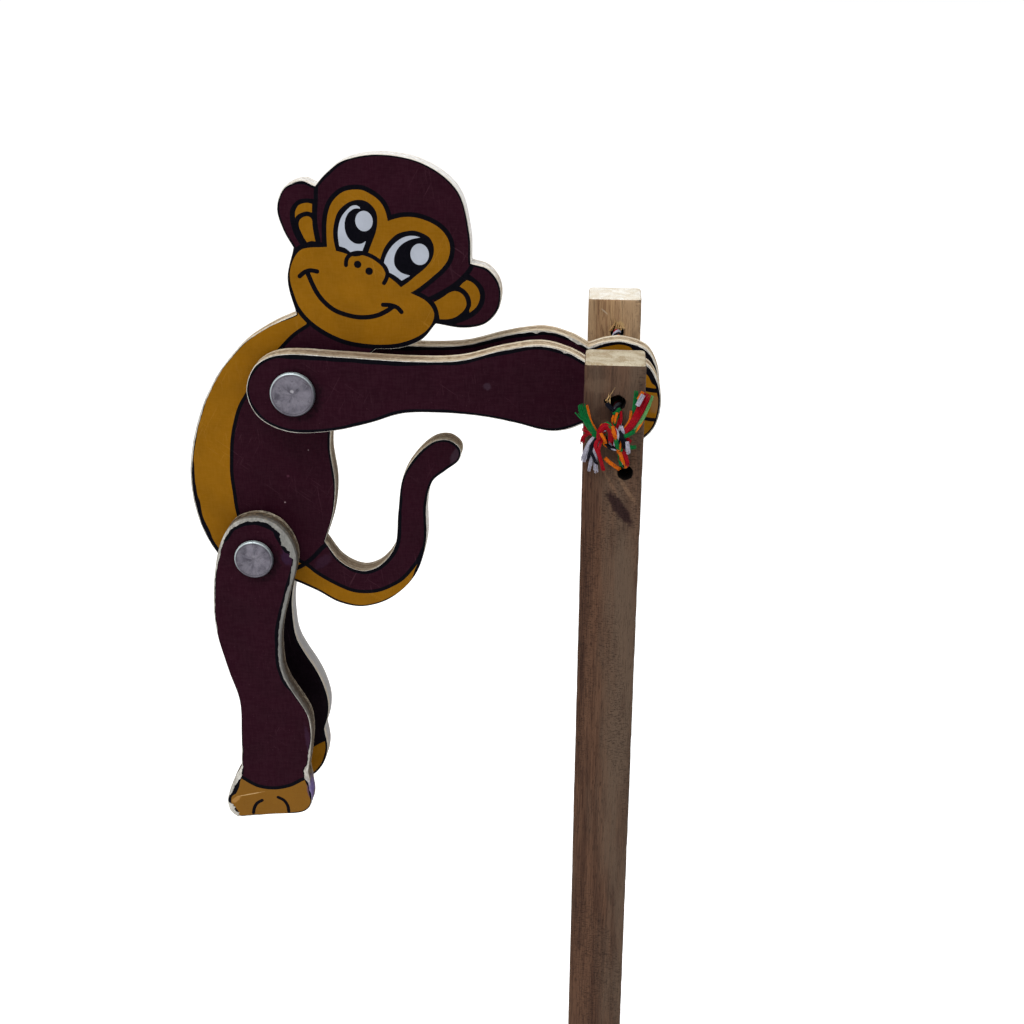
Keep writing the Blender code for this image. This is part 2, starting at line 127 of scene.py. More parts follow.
# %% [markdown]
# ## Helpers for shader nodes
# A material made of nodes is a small program. These helpers keep each step to one line:
# put() adds a node and fills its inputs with values or with other nodes' sockets.

# %% Node helpers
VALUE, VECTOR, TINT = "NodeSocketFloat", "NodeSocketVector", "NodeSocketColor"
ORIGIN = (0.0, 0.0, 0.0)


def fill(tree, inputs, values):
    """Fill inputs, by name or number, with plain values or with other nodes' sockets."""
    for name, value in values.items():
        if isinstance(value, bpy.types.NodeSocket):
            tree.links.new(value, inputs[name])
        else:
            inputs[name].default_value = value


def put(tree, kind, values=None, **settings):
    """Add a shader node, set it up and fill its inputs."""
    node = tree.nodes.new("ShaderNode" + kind)
    for name, value in settings.items():
        setattr(node, name, value)
    fill(tree, node.inputs, values or {})
    return node


def reckon(tree, operation, first, second=0.0):
    return put(tree, "Math", {0: first, 1: second}, operation=operation).outputs[0]


def highest(tree, values):
    top = values[0]
    for value in values[1:]:
        top = reckon(tree, "MAXIMUM", top, value)
    return top


def vector_step(tree, operation, first, second=ORIGIN):
    """One step of vector arithmetic; a length, distance or dot product comes out as a number."""
    node = put(tree, "VectorMath", {0: first, 1: second}, operation=operation)
    return node.outputs["Value" if operation in ("LENGTH", "DISTANCE", "DOT_PRODUCT") else "Vector"]


def ramp(tree, value, low, high, start=0.0, end=1.0):
    """Turn a value between low and high into one between start and end, eased."""
    sockets = {"Value": value, "From Min": low, "From Max": high, "To Min": start, "To Max": end}
    return put(tree, "MapRange", sockets, interpolation_type="SMOOTHSTEP").outputs[0]


print("node helpers ready")

# %% Places and noise


def place_mm(tree):
    """The place on the piece in mm; it moves with the piece."""
    place = put(tree, "TexCoord").outputs["Object"]
    return put(tree, "VectorMath", {0: place, 3: 1 / MM}, operation="SCALE").outputs[0]


def stretched_noise(tree, place, scale, detail=3.0, turn=ORIGIN, distortion=0.0):
    """Noise at a place in mm, turned first; scale then gives spots per mm along X, Y and Z."""
    if isinstance(scale, float):
        scale = (scale, scale, scale)
    sizes = tuple(1 / spots for spots in scale)
    mapped = put(tree, "Mapping", {"Vector": place, "Scale": sizes, "Rotation": turn}, vector_type="TEXTURE")
    spots = {"Vector": mapped.outputs[0], "Scale": 1.0, "Detail": detail, "Distortion": distortion}
    return put(tree, "TexNoise", spots).outputs[0]


def scratches(tree, place, scale, slants, low, high):
    """Thin scratches at each of the slants, in degrees: noise that is stretched along X."""
    lines = []
    for slant in slants:
        streaks = stretched_noise(tree, place, scale, 2.0, (0.0, math.radians(slant), 0.0))
        lines.append(ramp(tree, streaks, low, high))
    return highest(tree, lines)


print("noise helpers ready")

# %% Colours


def colour(red, green, blue):
    """A screen colour from 0 to 255 as the linear colour that a shader takes."""
    linear = []
    for value in (red, green, blue):
        share = value / 255
        linear.append(share / 12.92 if share <= 0.04045 else ((share + 0.055) / 1.055) ** 2.4)
    return (*linear, 1.0)


def blend_colours(tree, share, first, second):
    return put(tree, "Mix", {0: share, 6: first, 7: second}, data_type="RGBA").outputs[2]


def lay(tree, base, mask, tint, strength=1.0):
    """Lay a screen colour over a base colour where the mask is."""
    if strength != 1.0:
        mask = reckon(tree, "MULTIPLY", mask, strength)
    return blend_colours(tree, mask, base, colour(*tint))


print("a middle grey is", [round(channel, 3) for channel in colour(128, 128, 128)])

# %% [markdown]
# ## Effects that several finishes share
# Scuffs, wood grain and local marks each turn up in many materials, so each is one group.
# Everything is drawn by noise at the piece's own place in mm, so no picture is needed and
# the marks keep their real size. Noise that is stretched along one axis becomes streaks.

# %% An empty group


def new_group(name, inputs, outputs):
    """An empty shader group with named sockets, and its input and output nodes."""
    group = bpy.data.node_groups.new(name, "ShaderNodeTree")
    for label, kind, value in inputs:
        group.interface.new_socket(label, in_out="INPUT", socket_type=kind).default_value = value
    for label, kind in outputs:
        group.interface.new_socket(label, in_out="OUTPUT", socket_type=kind)
    print("group:", name, "gives", [label for label, _ in outputs])
    return group, group.nodes.new("NodeGroupInput").outputs, group.nodes.new("NodeGroupOutput").inputs


# %% Group: scuffs on print and metal
scuffs, take, give = new_group(
    "scuffs",
    [("Place", VECTOR, ORIGIN), ("Amount", VALUE, 1.0)],
    [("Marks", VALUE), ("Mottle", VALUE), ("Height", VALUE)],
)
patches = ramp(scuffs, stretched_noise(scuffs, take["Place"], 0.09, 2.0), 0.48, 0.66)
lines = scratches(scuffs, take["Place"], (0.10, 0.6, 3.4), (35, -62, 81), 0.665, 0.70)
specks = ramp(scuffs, stretched_noise(scuffs, take["Place"], 2.1, 1.0), 0.745, 0.775)
marks = highest(scuffs, [reckon(scuffs, "MULTIPLY", lines, patches), specks])
fine = stretched_noise(scuffs, take["Place"], 3.2, 3.0)
fill(scuffs, give, {
    "Marks": reckon(scuffs, "MULTIPLY", marks, take["Amount"]),
    "Mottle": stretched_noise(scuffs, take["Place"], 0.16, 4.0),
    "Height": reckon(scuffs, "SUBTRACT", fine, marks),
})

# %% Group: wood grain along Z
grain, take, give = new_group(
    "wood grain",
    [("Place", VECTOR, ORIGIN), ("Pale", TINT, (0.5, 0.4, 0.3, 1)), ("Dark", TINT, (0.1, 0.06, 0.04, 1)),
     ("Pores", VALUE, 0.6)],
    [("Color", TINT), ("Height", VALUE)],
)
broad = stretched_noise(grain, take["Place"], (0.34, 0.34, 0.011), 3.0, distortion=0.8)
fibres = stretched_noise(grain, take["Place"], (4.2, 4.2, 0.16), 3.0)
pores = ramp(grain, stretched_noise(grain, take["Place"], (5.5, 5.5, 0.42), 2.0), 0.60, 0.70)
bands_share = ramp(grain, broad, 0.34, 0.66, 0.1, 0.75)
fibre_share = ramp(grain, fibres, 0.3, 0.7, -0.28, 0.38)
share = reckon(grain, "ADD", bands_share, fibre_share)
share = reckon(grain, "ADD", share, reckon(grain, "MULTIPLY", pores, take["Pores"]))
share = reckon(grain, "MINIMUM", reckon(grain, "MAXIMUM", share, 0.0), 1.0)
fill(grain, give, {
    "Color": blend_colours(grain, share, take["Pale"], take["Dark"]),
    "Height": reckon(grain, "SUBTRACT", fibres, pores),
})

# %% Group: one local mark, such as a stain, a pen mark or a rubbed patch
EDGE_CORE = 0.62  # where a mark's soft edge ends, as a share of its size
spot, take, give = new_group(
    "local mark",
    [("Place", VECTOR, ORIGIN), ("Middle", VECTOR, ORIGIN), ("Turn", VALUE, 0.0), ("Length", VALUE, 1.0),
     ("Width", VALUE, 1.0), ("Depth", VALUE, 1.0), ("Raggedness", VALUE, 0.4), ("Core", VALUE, EDGE_CORE)],
    [("Mask", VALUE)],
)
offset = vector_step(spot, "SUBTRACT", take["Place"], take["Middle"])
swung = put(spot, "VectorRotate", {"Vector": offset, "Axis": (0.0, 1.0, 0.0), "Angle": take["Turn"]})
size = put(spot, "CombineXYZ", {0: take["Length"], 1: take["Depth"], 2: take["Width"]})
distance = vector_step(spot, "LENGTH", vector_step(spot, "DIVIDE", swung.outputs[0], size.outputs[0]))
rough = reckon(spot, "SUBTRACT", stretched_noise(spot, take["Place"], 1.3, 3.0), 0.5)
rough = reckon(spot, "MULTIPLY", rough, take["Raggedness"])
distance = reckon(spot, "ADD", distance, reckon(spot, "MULTIPLY", rough, 3.0))
fill(spot, give, {"Mask": ramp(spot, distance, 1.2, take["Core"])})

# %% Group: fibres of yarn
wool, take, give = new_group(
    "yarn fibres",
    [("Place", VECTOR, ORIGIN), ("Tint", TINT, (0.5, 0.1, 0.1, 1))],
    [("Color", TINT), ("Height", VALUE)],
)
hairs = stretched_noise(wool, take["Place"], (9.0, 9.0, 3.0), 3.0, (0.3, 0.5, 0.0))
patchy = stretched_noise(wool, take["Place"], 0.9, 2.0)
dark = blend_colours(wool, 0.55, take["Tint"], (0.01, 0.008, 0.01, 1.0))
pale = blend_colours(wool, 0.015, take["Tint"], (0.8, 0.78, 0.75, 1.0))
worn = blend_colours(wool, ramp(wool, patchy, 0.35, 0.7), take["Tint"], pale)
fill(wool, give, {"Color": blend_colours(wool, ramp(wool, hairs, 0.62, 0.32), worn, dark), "Height": hairs})

# %% [markdown]
# ## Printed faces
# The boards are printed in maroon, ochre, white and black. A picture could be laid over each
# face, but it blurs up close. Here the drawing is cut into the mesh, so it is crisp at any
# distance and each ink is a material slot. The ink itself is satin, mottled, and rubbed in
# places where it is handled.

# %% Helpers that start and end a material


def start_material(name):
    material = bpy.data.materials.new(name)
    material.use_nodes = True
    tree = material.node_tree
    return material, tree, tree.nodes["Principled BSDF"], place_mm(tree)


def end_material(tree, shader, base, roughness, height, depth_mm, shine=0.5):
    """Give a shader its colour, roughness and bump; shine is how much a dull surface mirrors."""
    bump = put(tree, "Bump", {"Height": height, "Distance": depth_mm * MM, "Strength": 1.0})
    fill(tree, shader.inputs, {"Base Color": base, "Roughness": roughness, "Specular IOR Level": shine,
                               "Normal": bump.outputs[0]})


def grouped(tree, group, values):
    """Place a shared group and fill its inputs; returns its outputs."""
    return put(tree, "Group", values, node_tree=group).outputs


def add_marks(tree, place, base, marks, core=EDGE_CORE, ragged=0.3):
    """Lay local marks, made by mark_at, over a colour; a small core gives a mark soft edges."""
    for middle, turn, length, width, depth, tint, strength in marks:
        mask = grouped(tree, spot, {"Place": place, "Middle": middle, "Turn": math.radians(turn),
                                    "Length": length, "Width": width, "Depth": depth,
                                    "Raggedness": ragged, "Core": core})["Mask"]
        base = lay(tree, base, mask, tint, strength)
    return base


print("material helpers ready")

# %% Inks
STRING_Z = AXIS.z  # marks and drawings give heights from the string's axis
ARM_FACE, BODY_FACE = -8.4, -2.4  # where the limbs' and the body's front faces are along Y
DUST, PURPLE = (150, 128, 132), (96, 78, 140)


def mark_at(x, z, face, turn, length, width, tint, strength, depth=1.2):
    """A mark on a face: its place, turn in degrees, half sizes in mm, colour and strength."""
    return (x, face, z + STRING_Z), turn, length, width, depth, tint, strength


def make_ink(name, tint, wear_and_highlight, roughness, marks=(), scuff=0.2):
    """Satin ink: mottled, faintly woven, scuffed down to its worn colour, and marked."""
    material, tree, shader, place = start_material(name)
    wear = grouped(tree, scuffs, {"Place": place, "Amount": scuff})
    shadow = [channel * 0.86 for channel in colour(*tint)[:3]] + [1.0]
    base = blend_colours(tree, ramp(tree, wear["Mottle"], 0.30, 0.70), shadow, colour(*tint))
    along = stretched_noise(tree, place, (3.4, 3.4, 0.5), 2.0)
    across = stretched_noise(tree, place, (0.5, 3.4, 3.4), 2.0)
    weave = reckon(tree, "MULTIPLY", reckon(tree, "ADD", along, across), 0.5)
    base = lay(tree, base, ramp(tree, weave, 0.60, 0.40, 0.0, 0.055), wear_and_highlight)
    base = lay(tree, base, wear["Marks"], wear_and_highlight)
    base = add_marks(tree, place, base, marks)
    gloss = ramp(tree, wear["Mottle"], 0.3, 0.7, roughness - 0.06, roughness + 0.10)
    end_material(tree, shader, base, gloss, wear["Height"], 0.015, 0.025)
    return material


print("ink helpers ready")

# %% Marks on the print, painted shadows beside the rivets, and the inks
FUR_MARKS_AND_RIVET_SHADOWS = [
    # Painted shadows: dark patches just to the right of the shoulder and hip rivets' heads
    mark_at(SHOULDER.x + 0.8, -0.5, ARM_FACE, 0, 5.6, 5.4, (9, 4, 8), 0.8),
    mark_at(HIP.x + 0.8, -39.2, ARM_FACE, 0, 5.0, 4.8, (9, 4, 8), 0.8),
    mark_at(-71.6, -38.2, ARM_FACE, 0, 1.5, 2.2, (66, 50, 84), 0.22),
    mark_at(-26.8, 2.6, ARM_FACE, 0, 0.9, 0.8, (62, 46, 58), 0.55),
    mark_at(-34.2, -15.2, BODY_FACE, 60, 2.3, 0.9, (64, 52, 62), 0.5),
    mark_at(-64.7, -41.8, BODY_FACE, 40, 2.6, 1.3, (84, 66, 96), 0.09),
    mark_at(-72.8, -27.5, BODY_FACE, 0, 0.20, 0.18, DUST, 0.7),
    mark_at(-67.0, -14.9, BODY_FACE, 0, 0.18, 0.18, DUST, 0.5),
    mark_at(-71.8, -21.2, BODY_FACE, 0, 0.32, 0.32, (90, 50, 66), 0.5),
    mark_at(-68.7, -86.5, ARM_FACE, 8, 0.7, 5.5, (78, 56, 84), 0.2),
]
FOOT_MARKS = [
    mark_at(-79.0, -101.0, ARM_FACE, 0, 16, 9, (118, 82, 38), 0.6),
    mark_at(-69.0, -99.2, ARM_FACE, 12, 0.7, 2.4, (60, 50, 90), 0.7),
    mark_at(8.8, -0.4, ARM_FACE, 0, 1.5, 2.0, (122, 92, 62), 0.7),
    mark_at(-87.0, -102.0, ARM_FACE, 40, 1.5, 0.6, (178, 132, 74), 0.6),
    mark_at(-83.4, -100.4, ARM_FACE, 14, 3.4, 0.13, (208, 172, 118), 0.75),
]
maroon = make_ink("maroon print", (38, 10, 22), (96, 62, 74), 0.46, FUR_MARKS_AND_RIVET_SHADOWS)
# Painted shade: a near-black copy of the maroon print, for the rear leg, which lies in shade
painted_shade_maroon = make_ink("maroon print darkened as painted shade", (12, 5, 10), (60, 44, 56), 0.46)
ochre = make_ink("ochre print", (136, 90, 11), (186, 138, 62), 0.44, FOOT_MARKS)
eye_white = make_ink("white print", (176, 182, 194), (140, 140, 150), 0.40, scuff=0.12)
black_ink = make_ink("black print", (4, 4, 10), (46, 40, 52), 0.42, scuff=0.15)
print("inks:", [ink.name for ink in (maroon, painted_shade_maroon, ochre, eye_white, black_ink)])

# %% [markdown]
# ## Plywood edges
# A sawn edge shows the plies: pale face plies whose grain runs along the board, a browner
# core whose end grain is cut across, and thin dark glue lines. One striped material could
# stand for them. Instead each ply gets rows of faces of its own in the mesh, and a material
# with its own grain, so the layers stay sharp and can stand out or fall back a little.

# %% Bare wood, plies and glue


def make_bare_wood(name, pale, dark, scale, pores, roughness=0.8, depth=0.05, marks=()):
    """Unpainted wood; scale stretches the place so that grain runs where it should."""
    material, tree, shader, place = start_material(name)
    mapped = put(tree, "Mapping", {"Vector": place, "Scale": scale}).outputs[0]
    links = {"Place": mapped, "Pale": colour(*pale), "Dark": colour(*dark), "Pores": pores}
    wood = grouped(tree, grain, links)
    grime = ramp(tree, stretched_noise(tree, place, 0.35, 4.0), 0.50, 0.72, 0.0, 0.55)
    base = lay(tree, wood["Color"], grime, dark)
    base = add_marks(tree, place, base, marks, 0.35)
    end_material(tree, shader, base, roughness, wood["Height"], depth, 0.1)
    return material


print("bare wood helper ready")

# %% Smears, painted light and painted shade on the edges, and the plies
smear = [
    mark_at(-74.0, -50.0, ARM_FACE, 0, 16, 36, (112, 112, 110), 0.85, 2.5),
    mark_at(-68.4, -99.0, ARM_FACE + 1.0, 10, 1.9, 3.4, PURPLE, 0.85, 4.6),
]
painted_light_and_smears = [
    # Painted shade: the edges of the front leg, the tail, the lower body and the arm are darker
    mark_at(-80.0, -66.0, -6.4, 0, 36, 74, (42, 32, 25), 0.93, 5.0),
    mark_at(-34.5, -12.5, 0.0, 0, 6.5, 5.0, (110, 94, 78), 0.7, 4.0),
    mark_at(-60.0, -26.0, 0.0, 0, 13, 20, (76, 68, 62), 0.75, 4.0),
    mark_at(-58.0, -44.0, 0.0, 0, 22, 12, (88, 74, 60), 0.75, 4.0),
    mark_at(-56.0, 7.0, -6.0, 0, 18, 9, (104, 86, 70), 0.55, 4.0),
    # Painted light: the edges of the head and of the tail's right side are paler
    mark_at(-47.0, 36.0, 0.0, 0, 34, 26, (250, 250, 249), 0.93, 4.0),
    mark_at(-38.2, -30.0, 0.0, 0, 5, 14, (244, 246, 247), 0.9, 4.0),
    # Painted shadow: grey over the rear leg's edges
    mark_at(-74.0, -70.0, 6.5, 0, 30, 62, (166, 168, 172), 0.85, 3.4),
] + smear
rim_wood = make_bare_wood("chipped rim", (216, 213, 204), (156, 150, 142), (1, 1, 6), 0.3, marks=smear)
face_ply = make_bare_wood("pale face ply", (234, 224, 202), (178, 154, 122), (0.6, 3, 3), 0.40, marks=painted_light_and_smears)
core_ply = make_bare_wood("brown core ply", (210, 191, 161), (134, 109, 82), (2.5, 2.5, 6), 0.7, depth=0.08,
                          marks=painted_light_and_smears)
glue_line = make_bare_wood("glue line", (140, 114, 86), (84, 64, 48), (2, 2, 2), 0.5, marks=painted_light_and_smears)
BOARD_SLOTS = [maroon, painted_shade_maroon, ochre, eye_white, black_ink, rim_wood, face_ply, core_ply, glue_line]
MAROON, PAINTED_SHADE_MAROON, OCHRE, WHITE, BLACK, RIM, FACE_PLY, CORE_PLY, GLUE = range(len(BOARD_SLOTS))
print("plywood:", [wood.name for wood in BOARD_SLOTS[RIM:]])

# %% [markdown]
# ## Curves and outlines
# Saw lines and drawn lines are both smooth curves with a few sharp corners. One function
# runs a smooth curve through design points and keeps a corner wherever the points turn
# sharply. The boards' outlines come from the CAD parts, so the finer mesh stays in place.

# %% Smooth curves through points


def unit(vector):
    return vector / max(float(np.linalg.norm(vector)), 1e-9)


def flowing(points, closed=True, step=0.4, corner=40.0):
    """A smooth curve through points, sharp where they turn by more than corner degrees."""
    points = np.array(points, float)
    count = len(points)

    def heading(i, straight):
        if not closed and i in (0, count - 1):
            return straight
        before, after = points[i] - points[i - 1], points[(i + 1) % count] - points[i]
        if unit(before) @ unit(after) < math.cos(math.radians(corner)):
            return straight
        near, far = np.linalg.norm(before), np.linalg.norm(after)
        return (unit(before) * far + unit(after) * near) / (near + far)

    curve = []
    for i in range(count if closed else count - 1):
        here, there = points[i], points[(i + 1) % count]
        length = float(np.linalg.norm(there - here))
        leave = heading(i, unit(there - here)) * length
        arrive = heading((i + 1) % count, unit(there - here)) * length
        steps = max(1, math.ceil(length / step))
        for t in np.arange(steps) / steps:
            first = here * (2 * t**3 - 3 * t**2 + 1) + leave * (t**3 - 2 * t**2 + t)
            curve.append(first + there * (3 * t**2 - 2 * t**3) + arrive * (t**3 - t**2))
    if not closed:
        curve.append(points[-1])
    return np.array(curve)


def left_normals(curve, closed=True):
    """Unit normals to the left of a flat curve's direction."""
    ahead, behind = np.roll(curve, -1, 0), np.roll(curve, 1, 0)
    if not closed:
        ahead[-1], behind[0] = curve[-1], curve[0]
    along = ahead - behind
    along /= np.maximum(np.linalg.norm(along, axis=1, keepdims=True), 1e-9)
    return np.column_stack([-along[:, 1], along[:, 0]])


print("curve helpers ready")

# %% Measures on a flat face


def winding(loop, spots):
    """How many times a closed loop goes round each spot, anticlockwise."""
    total = np.zeros(len(spots), int)
    for (ax, az), (bx, bz) in zip(loop, np.roll(loop, -1, 0)):
        left = (bx - ax) * (spots[:, 1] - az) - (spots[:, 0] - ax) * (bz - az)
        total += (az <= spots[:, 1]) & (bz > spots[:, 1]) & (left > 0)
        total -= (az > spots[:, 1]) & (bz <= spots[:, 1]) & (left < 0)
    return total


def reach_of(curve, closed, spots):
    """Each spot's distance from a curve."""
    best = np.full(len(spots), np.inf)
    ends = np.roll(curve, -1, 0) if closed else curve[1:]
    for a, b in zip(curve, ends):
        along = b - a
        t = np.clip((spots - a) @ along / max(float(along @ along), 1e-12), 0.0, 1.0)
        best = np.minimum(best, np.linalg.norm(spots - a - t[:, None] * along, axis=1))
    return best


def wobble(x, z, size, seed=0.0):
    """Smooth noise from -1 to 1 over a face, with bumps about size mm apart."""
    return noise.noise(Vector((x / size, seed, z / size)))


def spread(controls, spots):
    """Widths at spots, eased between the control points (x, z, width) round a board."""
    controls = np.array(controls, float)
    away = np.linalg.norm(spots[:, None, :] - controls[None, :, :2], axis=2) + 0.3
    weight = away**-4.0
    return (weight * controls[:, 2]).sum(1) / weight.sum(1)


print("measuring helpers ready")

# %% Read a board's outline and holes from its CAD part


def face_loops(node):
    """The front face's place along Y and its closed loops (x, z) in mm, the outline first."""
    mesh = frame["nodes"][node].data
    places = [tuple(round(c / MM, 3) for c in vertex.co) for vertex in mesh.vertices]
    front = min(place[1] for place in places)
    follow = {}
    for polygon in mesh.polygons:
        corners = [places[i] for i in polygon.vertices]
        if max(corner[1] for corner in corners) > front + 0.01:
            continue
        flat = [(x, z) for x, _, z in corners]
        for a, b in zip(flat, flat[1:] + flat[:1]):
            if (b, a) in follow:
                del follow[(b, a)]
            else:
                follow[(a, b)] = True
    after = dict(follow.keys())
    loops = []
    while after:
        start, here = next(iter(after.items()))
        loop = [start]
        del after[start]
        while here != start:
            loop.append(here)
            here = after.pop(here)
        loops.append(np.array(loop))
    loops.sort(key=lambda loop: -np.ptp(loop[:, 0]))
    return front, loops


for node in ("body_board", "front_arm", "front_leg"):
    front, loops = face_loops(node)
    print(node, "front face at", front, "loops", [len(loop) for loop in loops])

# %% [markdown]
# ## Cutting the drawing into a board
# Every ink edge, line edge and chipped rim becomes an edge of the mesh: a constrained
# triangulation takes all of them at once. Each triangle then gets the ink of the last shape
# painted over its middle, as with paper cut-outs. The same cuts are used for the back.

# %% Shapes that can be painted on a board


def area(ink, points, line=0.0):
    """A filled shape, with a black line of that width outside its edge."""
    return {"ink": ink, "points": points, "line": line, "closed": True}


def stroke(width, points, ink=BLACK):
    """A drawn line with round ends."""
    return {"ink": ink, "points": points, "line": width / 2, "closed": False}


def oval(ink, x, z, across, up):
    """A filled oval, given by its middle and its half width and height."""
    around = np.linspace(0, math.tau, 14, endpoint=False)
    return area(ink, [(x + across * math.cos(t), z + up * math.sin(t)) for t in around])


def line_edges(curve, width, closed):
    """The two edges of a line of that half width; an open line's edges join round its ends."""
    normals = left_normals(curve, closed)
    sides = [curve + normals * width, curve - normals * width]
    if closed:
        return sides
    ends = []
    for tip, side in ((curve[-1], normals[-1]), (curve[0], -normals[0])):
        ahead = np.array([side[1], -side[0]])
        turns = np.linspace(0, math.pi, 8)[1:-1]
        bends = [side * math.cos(t) + ahead * math.sin(t) for t in turns]
        ends.append(np.array([tip + width * bend for bend in bends]))
    return [np.vstack([sides[0], ends[0], sides[1][::-1], ends[1]])]


print("shape helpers ready")

# %% Triangulate a board's face and choose each triangle's ink
CUT_GRAIN = 0.0005  # points nearer than this, in mm, are one point
DRAWN_STEP = 0.5  # mm between points of a drawn curve


def cut_face(outline, holes, rim_loop, ink_loop, ground, shapes):
    """Triangles of a painted face: their points (x, z), corner numbers and inks."""
    curves = [outline, rim_loop, ink_loop, *holes]
    painted = []
    for shape in shapes:
        curve = flowing(shape["points"], shape["closed"], DRAWN_STEP)
        if shape["closed"]:
            curves.append(curve)
        if shape["line"] > 0:
            curves += line_edges(curve, shape["line"], shape["closed"])
        painted.append((shape, curve))
    points, edges = [], []
    for curve in curves:
        first = len(points)
        points += [Vector((float(x), float(z))) for x, z in curve]
        edges += [(first + i, first + (i + 1) % len(curve)) for i in range(len(curve))]
    found = delaunay_2d_cdt(points, edges, [], 0, CUT_GRAIN, False)
    spots = np.array([tuple(p) for p in found[0]])
    corners = np.array([tuple(face) for face in found[2]])
    middles = spots[corners].mean(1)
    keep = winding(outline, middles) > 0
    for hole in holes:
        keep &= winding(hole, middles) == 0
    corners, middles = corners[keep], middles[keep]
    inks = np.full(len(corners), ground)
    for shape, curve in painted:
        if shape["line"] > 0:
            lined = reach_of(curve, shape["closed"], middles) < shape["line"]
            inks[lined] = BLACK if shape["closed"] else shape["ink"]
        if shape["closed"]:
            inks[winding(curve, middles) != 0] = shape["ink"]
    inks[winding(ink_loop, middles) <= 0] = BLACK
    inks[winding(rim_loop, middles) <= 0] = RIM
    flat = spots[corners]
    sense = np.cross(flat[:, 1] - flat[:, 0], flat[:, 2] - flat[:, 0])
    corners[sense < 0] = corners[sense < 0][:, ::-1]
    return spots, corners, inks


print("cutter ready")

# %% Make a mesh and link it as a piece


def make_mesh(name, verts, faces, slots=None):
    """A mesh from points in mm; slots gives each face's material."""
    mesh = bpy.data.meshes.new(name)
    mesh.from_pydata([Vector(vertex) * MM for vertex in verts], [], faces)
    if slots is not None:
        mesh.polygons.foreach_set("material_index", slots)
    return mesh


def shade(mesh, angle=32.0):
    """Smooth a mesh, and keep the edges that are sharper than an angle in degrees."""
    mesh.polygons.foreach_set("use_smooth", [True] * len(mesh.polygons))
    mesh.set_sharp_from_angle(angle=math.radians(angle))
    return mesh


def link_piece(name, mesh, materials, body, node=None):
    """Put a mesh in the scene as a piece on a body, standing for a CAD part if one is named."""
    for material in materials:
        mesh.materials.append(material)
    piece = bpy.data.objects.new(name, mesh)
    bpy.context.collection.objects.link(piece)
    if body is not None:
        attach(piece, body)
    if node is not None:
        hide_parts(node)
    return piece


print("mesh helpers ready")

# %% Turn the cut face into a solid board
BOARD = 4.8  # thickness of a printed board
EDGE_DROP = 0.22  # how far the printed face falls away at its sawn edge
SAW_STEP, SAW_CORNER = 0.42, 24.0  # points of an outline in mm, and the degrees that make a corner
HOLE_STEP, HOLE_CORNER = 0.40, 60.0
# Rows down a sawn edge: depth from the front face, how far the wood stands out, and what follows
EDGE_ROWS = [
    (0.55, 0.03, FACE_PLY), (1.1, 0.04, FACE_PLY), (1.5, 0.02, FACE_PLY), (1.56, -0.05, GLUE),
    (1.64, -0.05, GLUE), (1.7, 0.0, CORE_PLY), (2.4, 0.02, CORE_PLY), (3.1, 0.0, CORE_PLY),
    (3.16, -0.05, GLUE), (3.24, -0.05, GLUE), (3.3, 0.02, FACE_PLY), (3.8, 0.04, FACE_PLY),
    (4.3, 0.03, FACE_PLY),
]


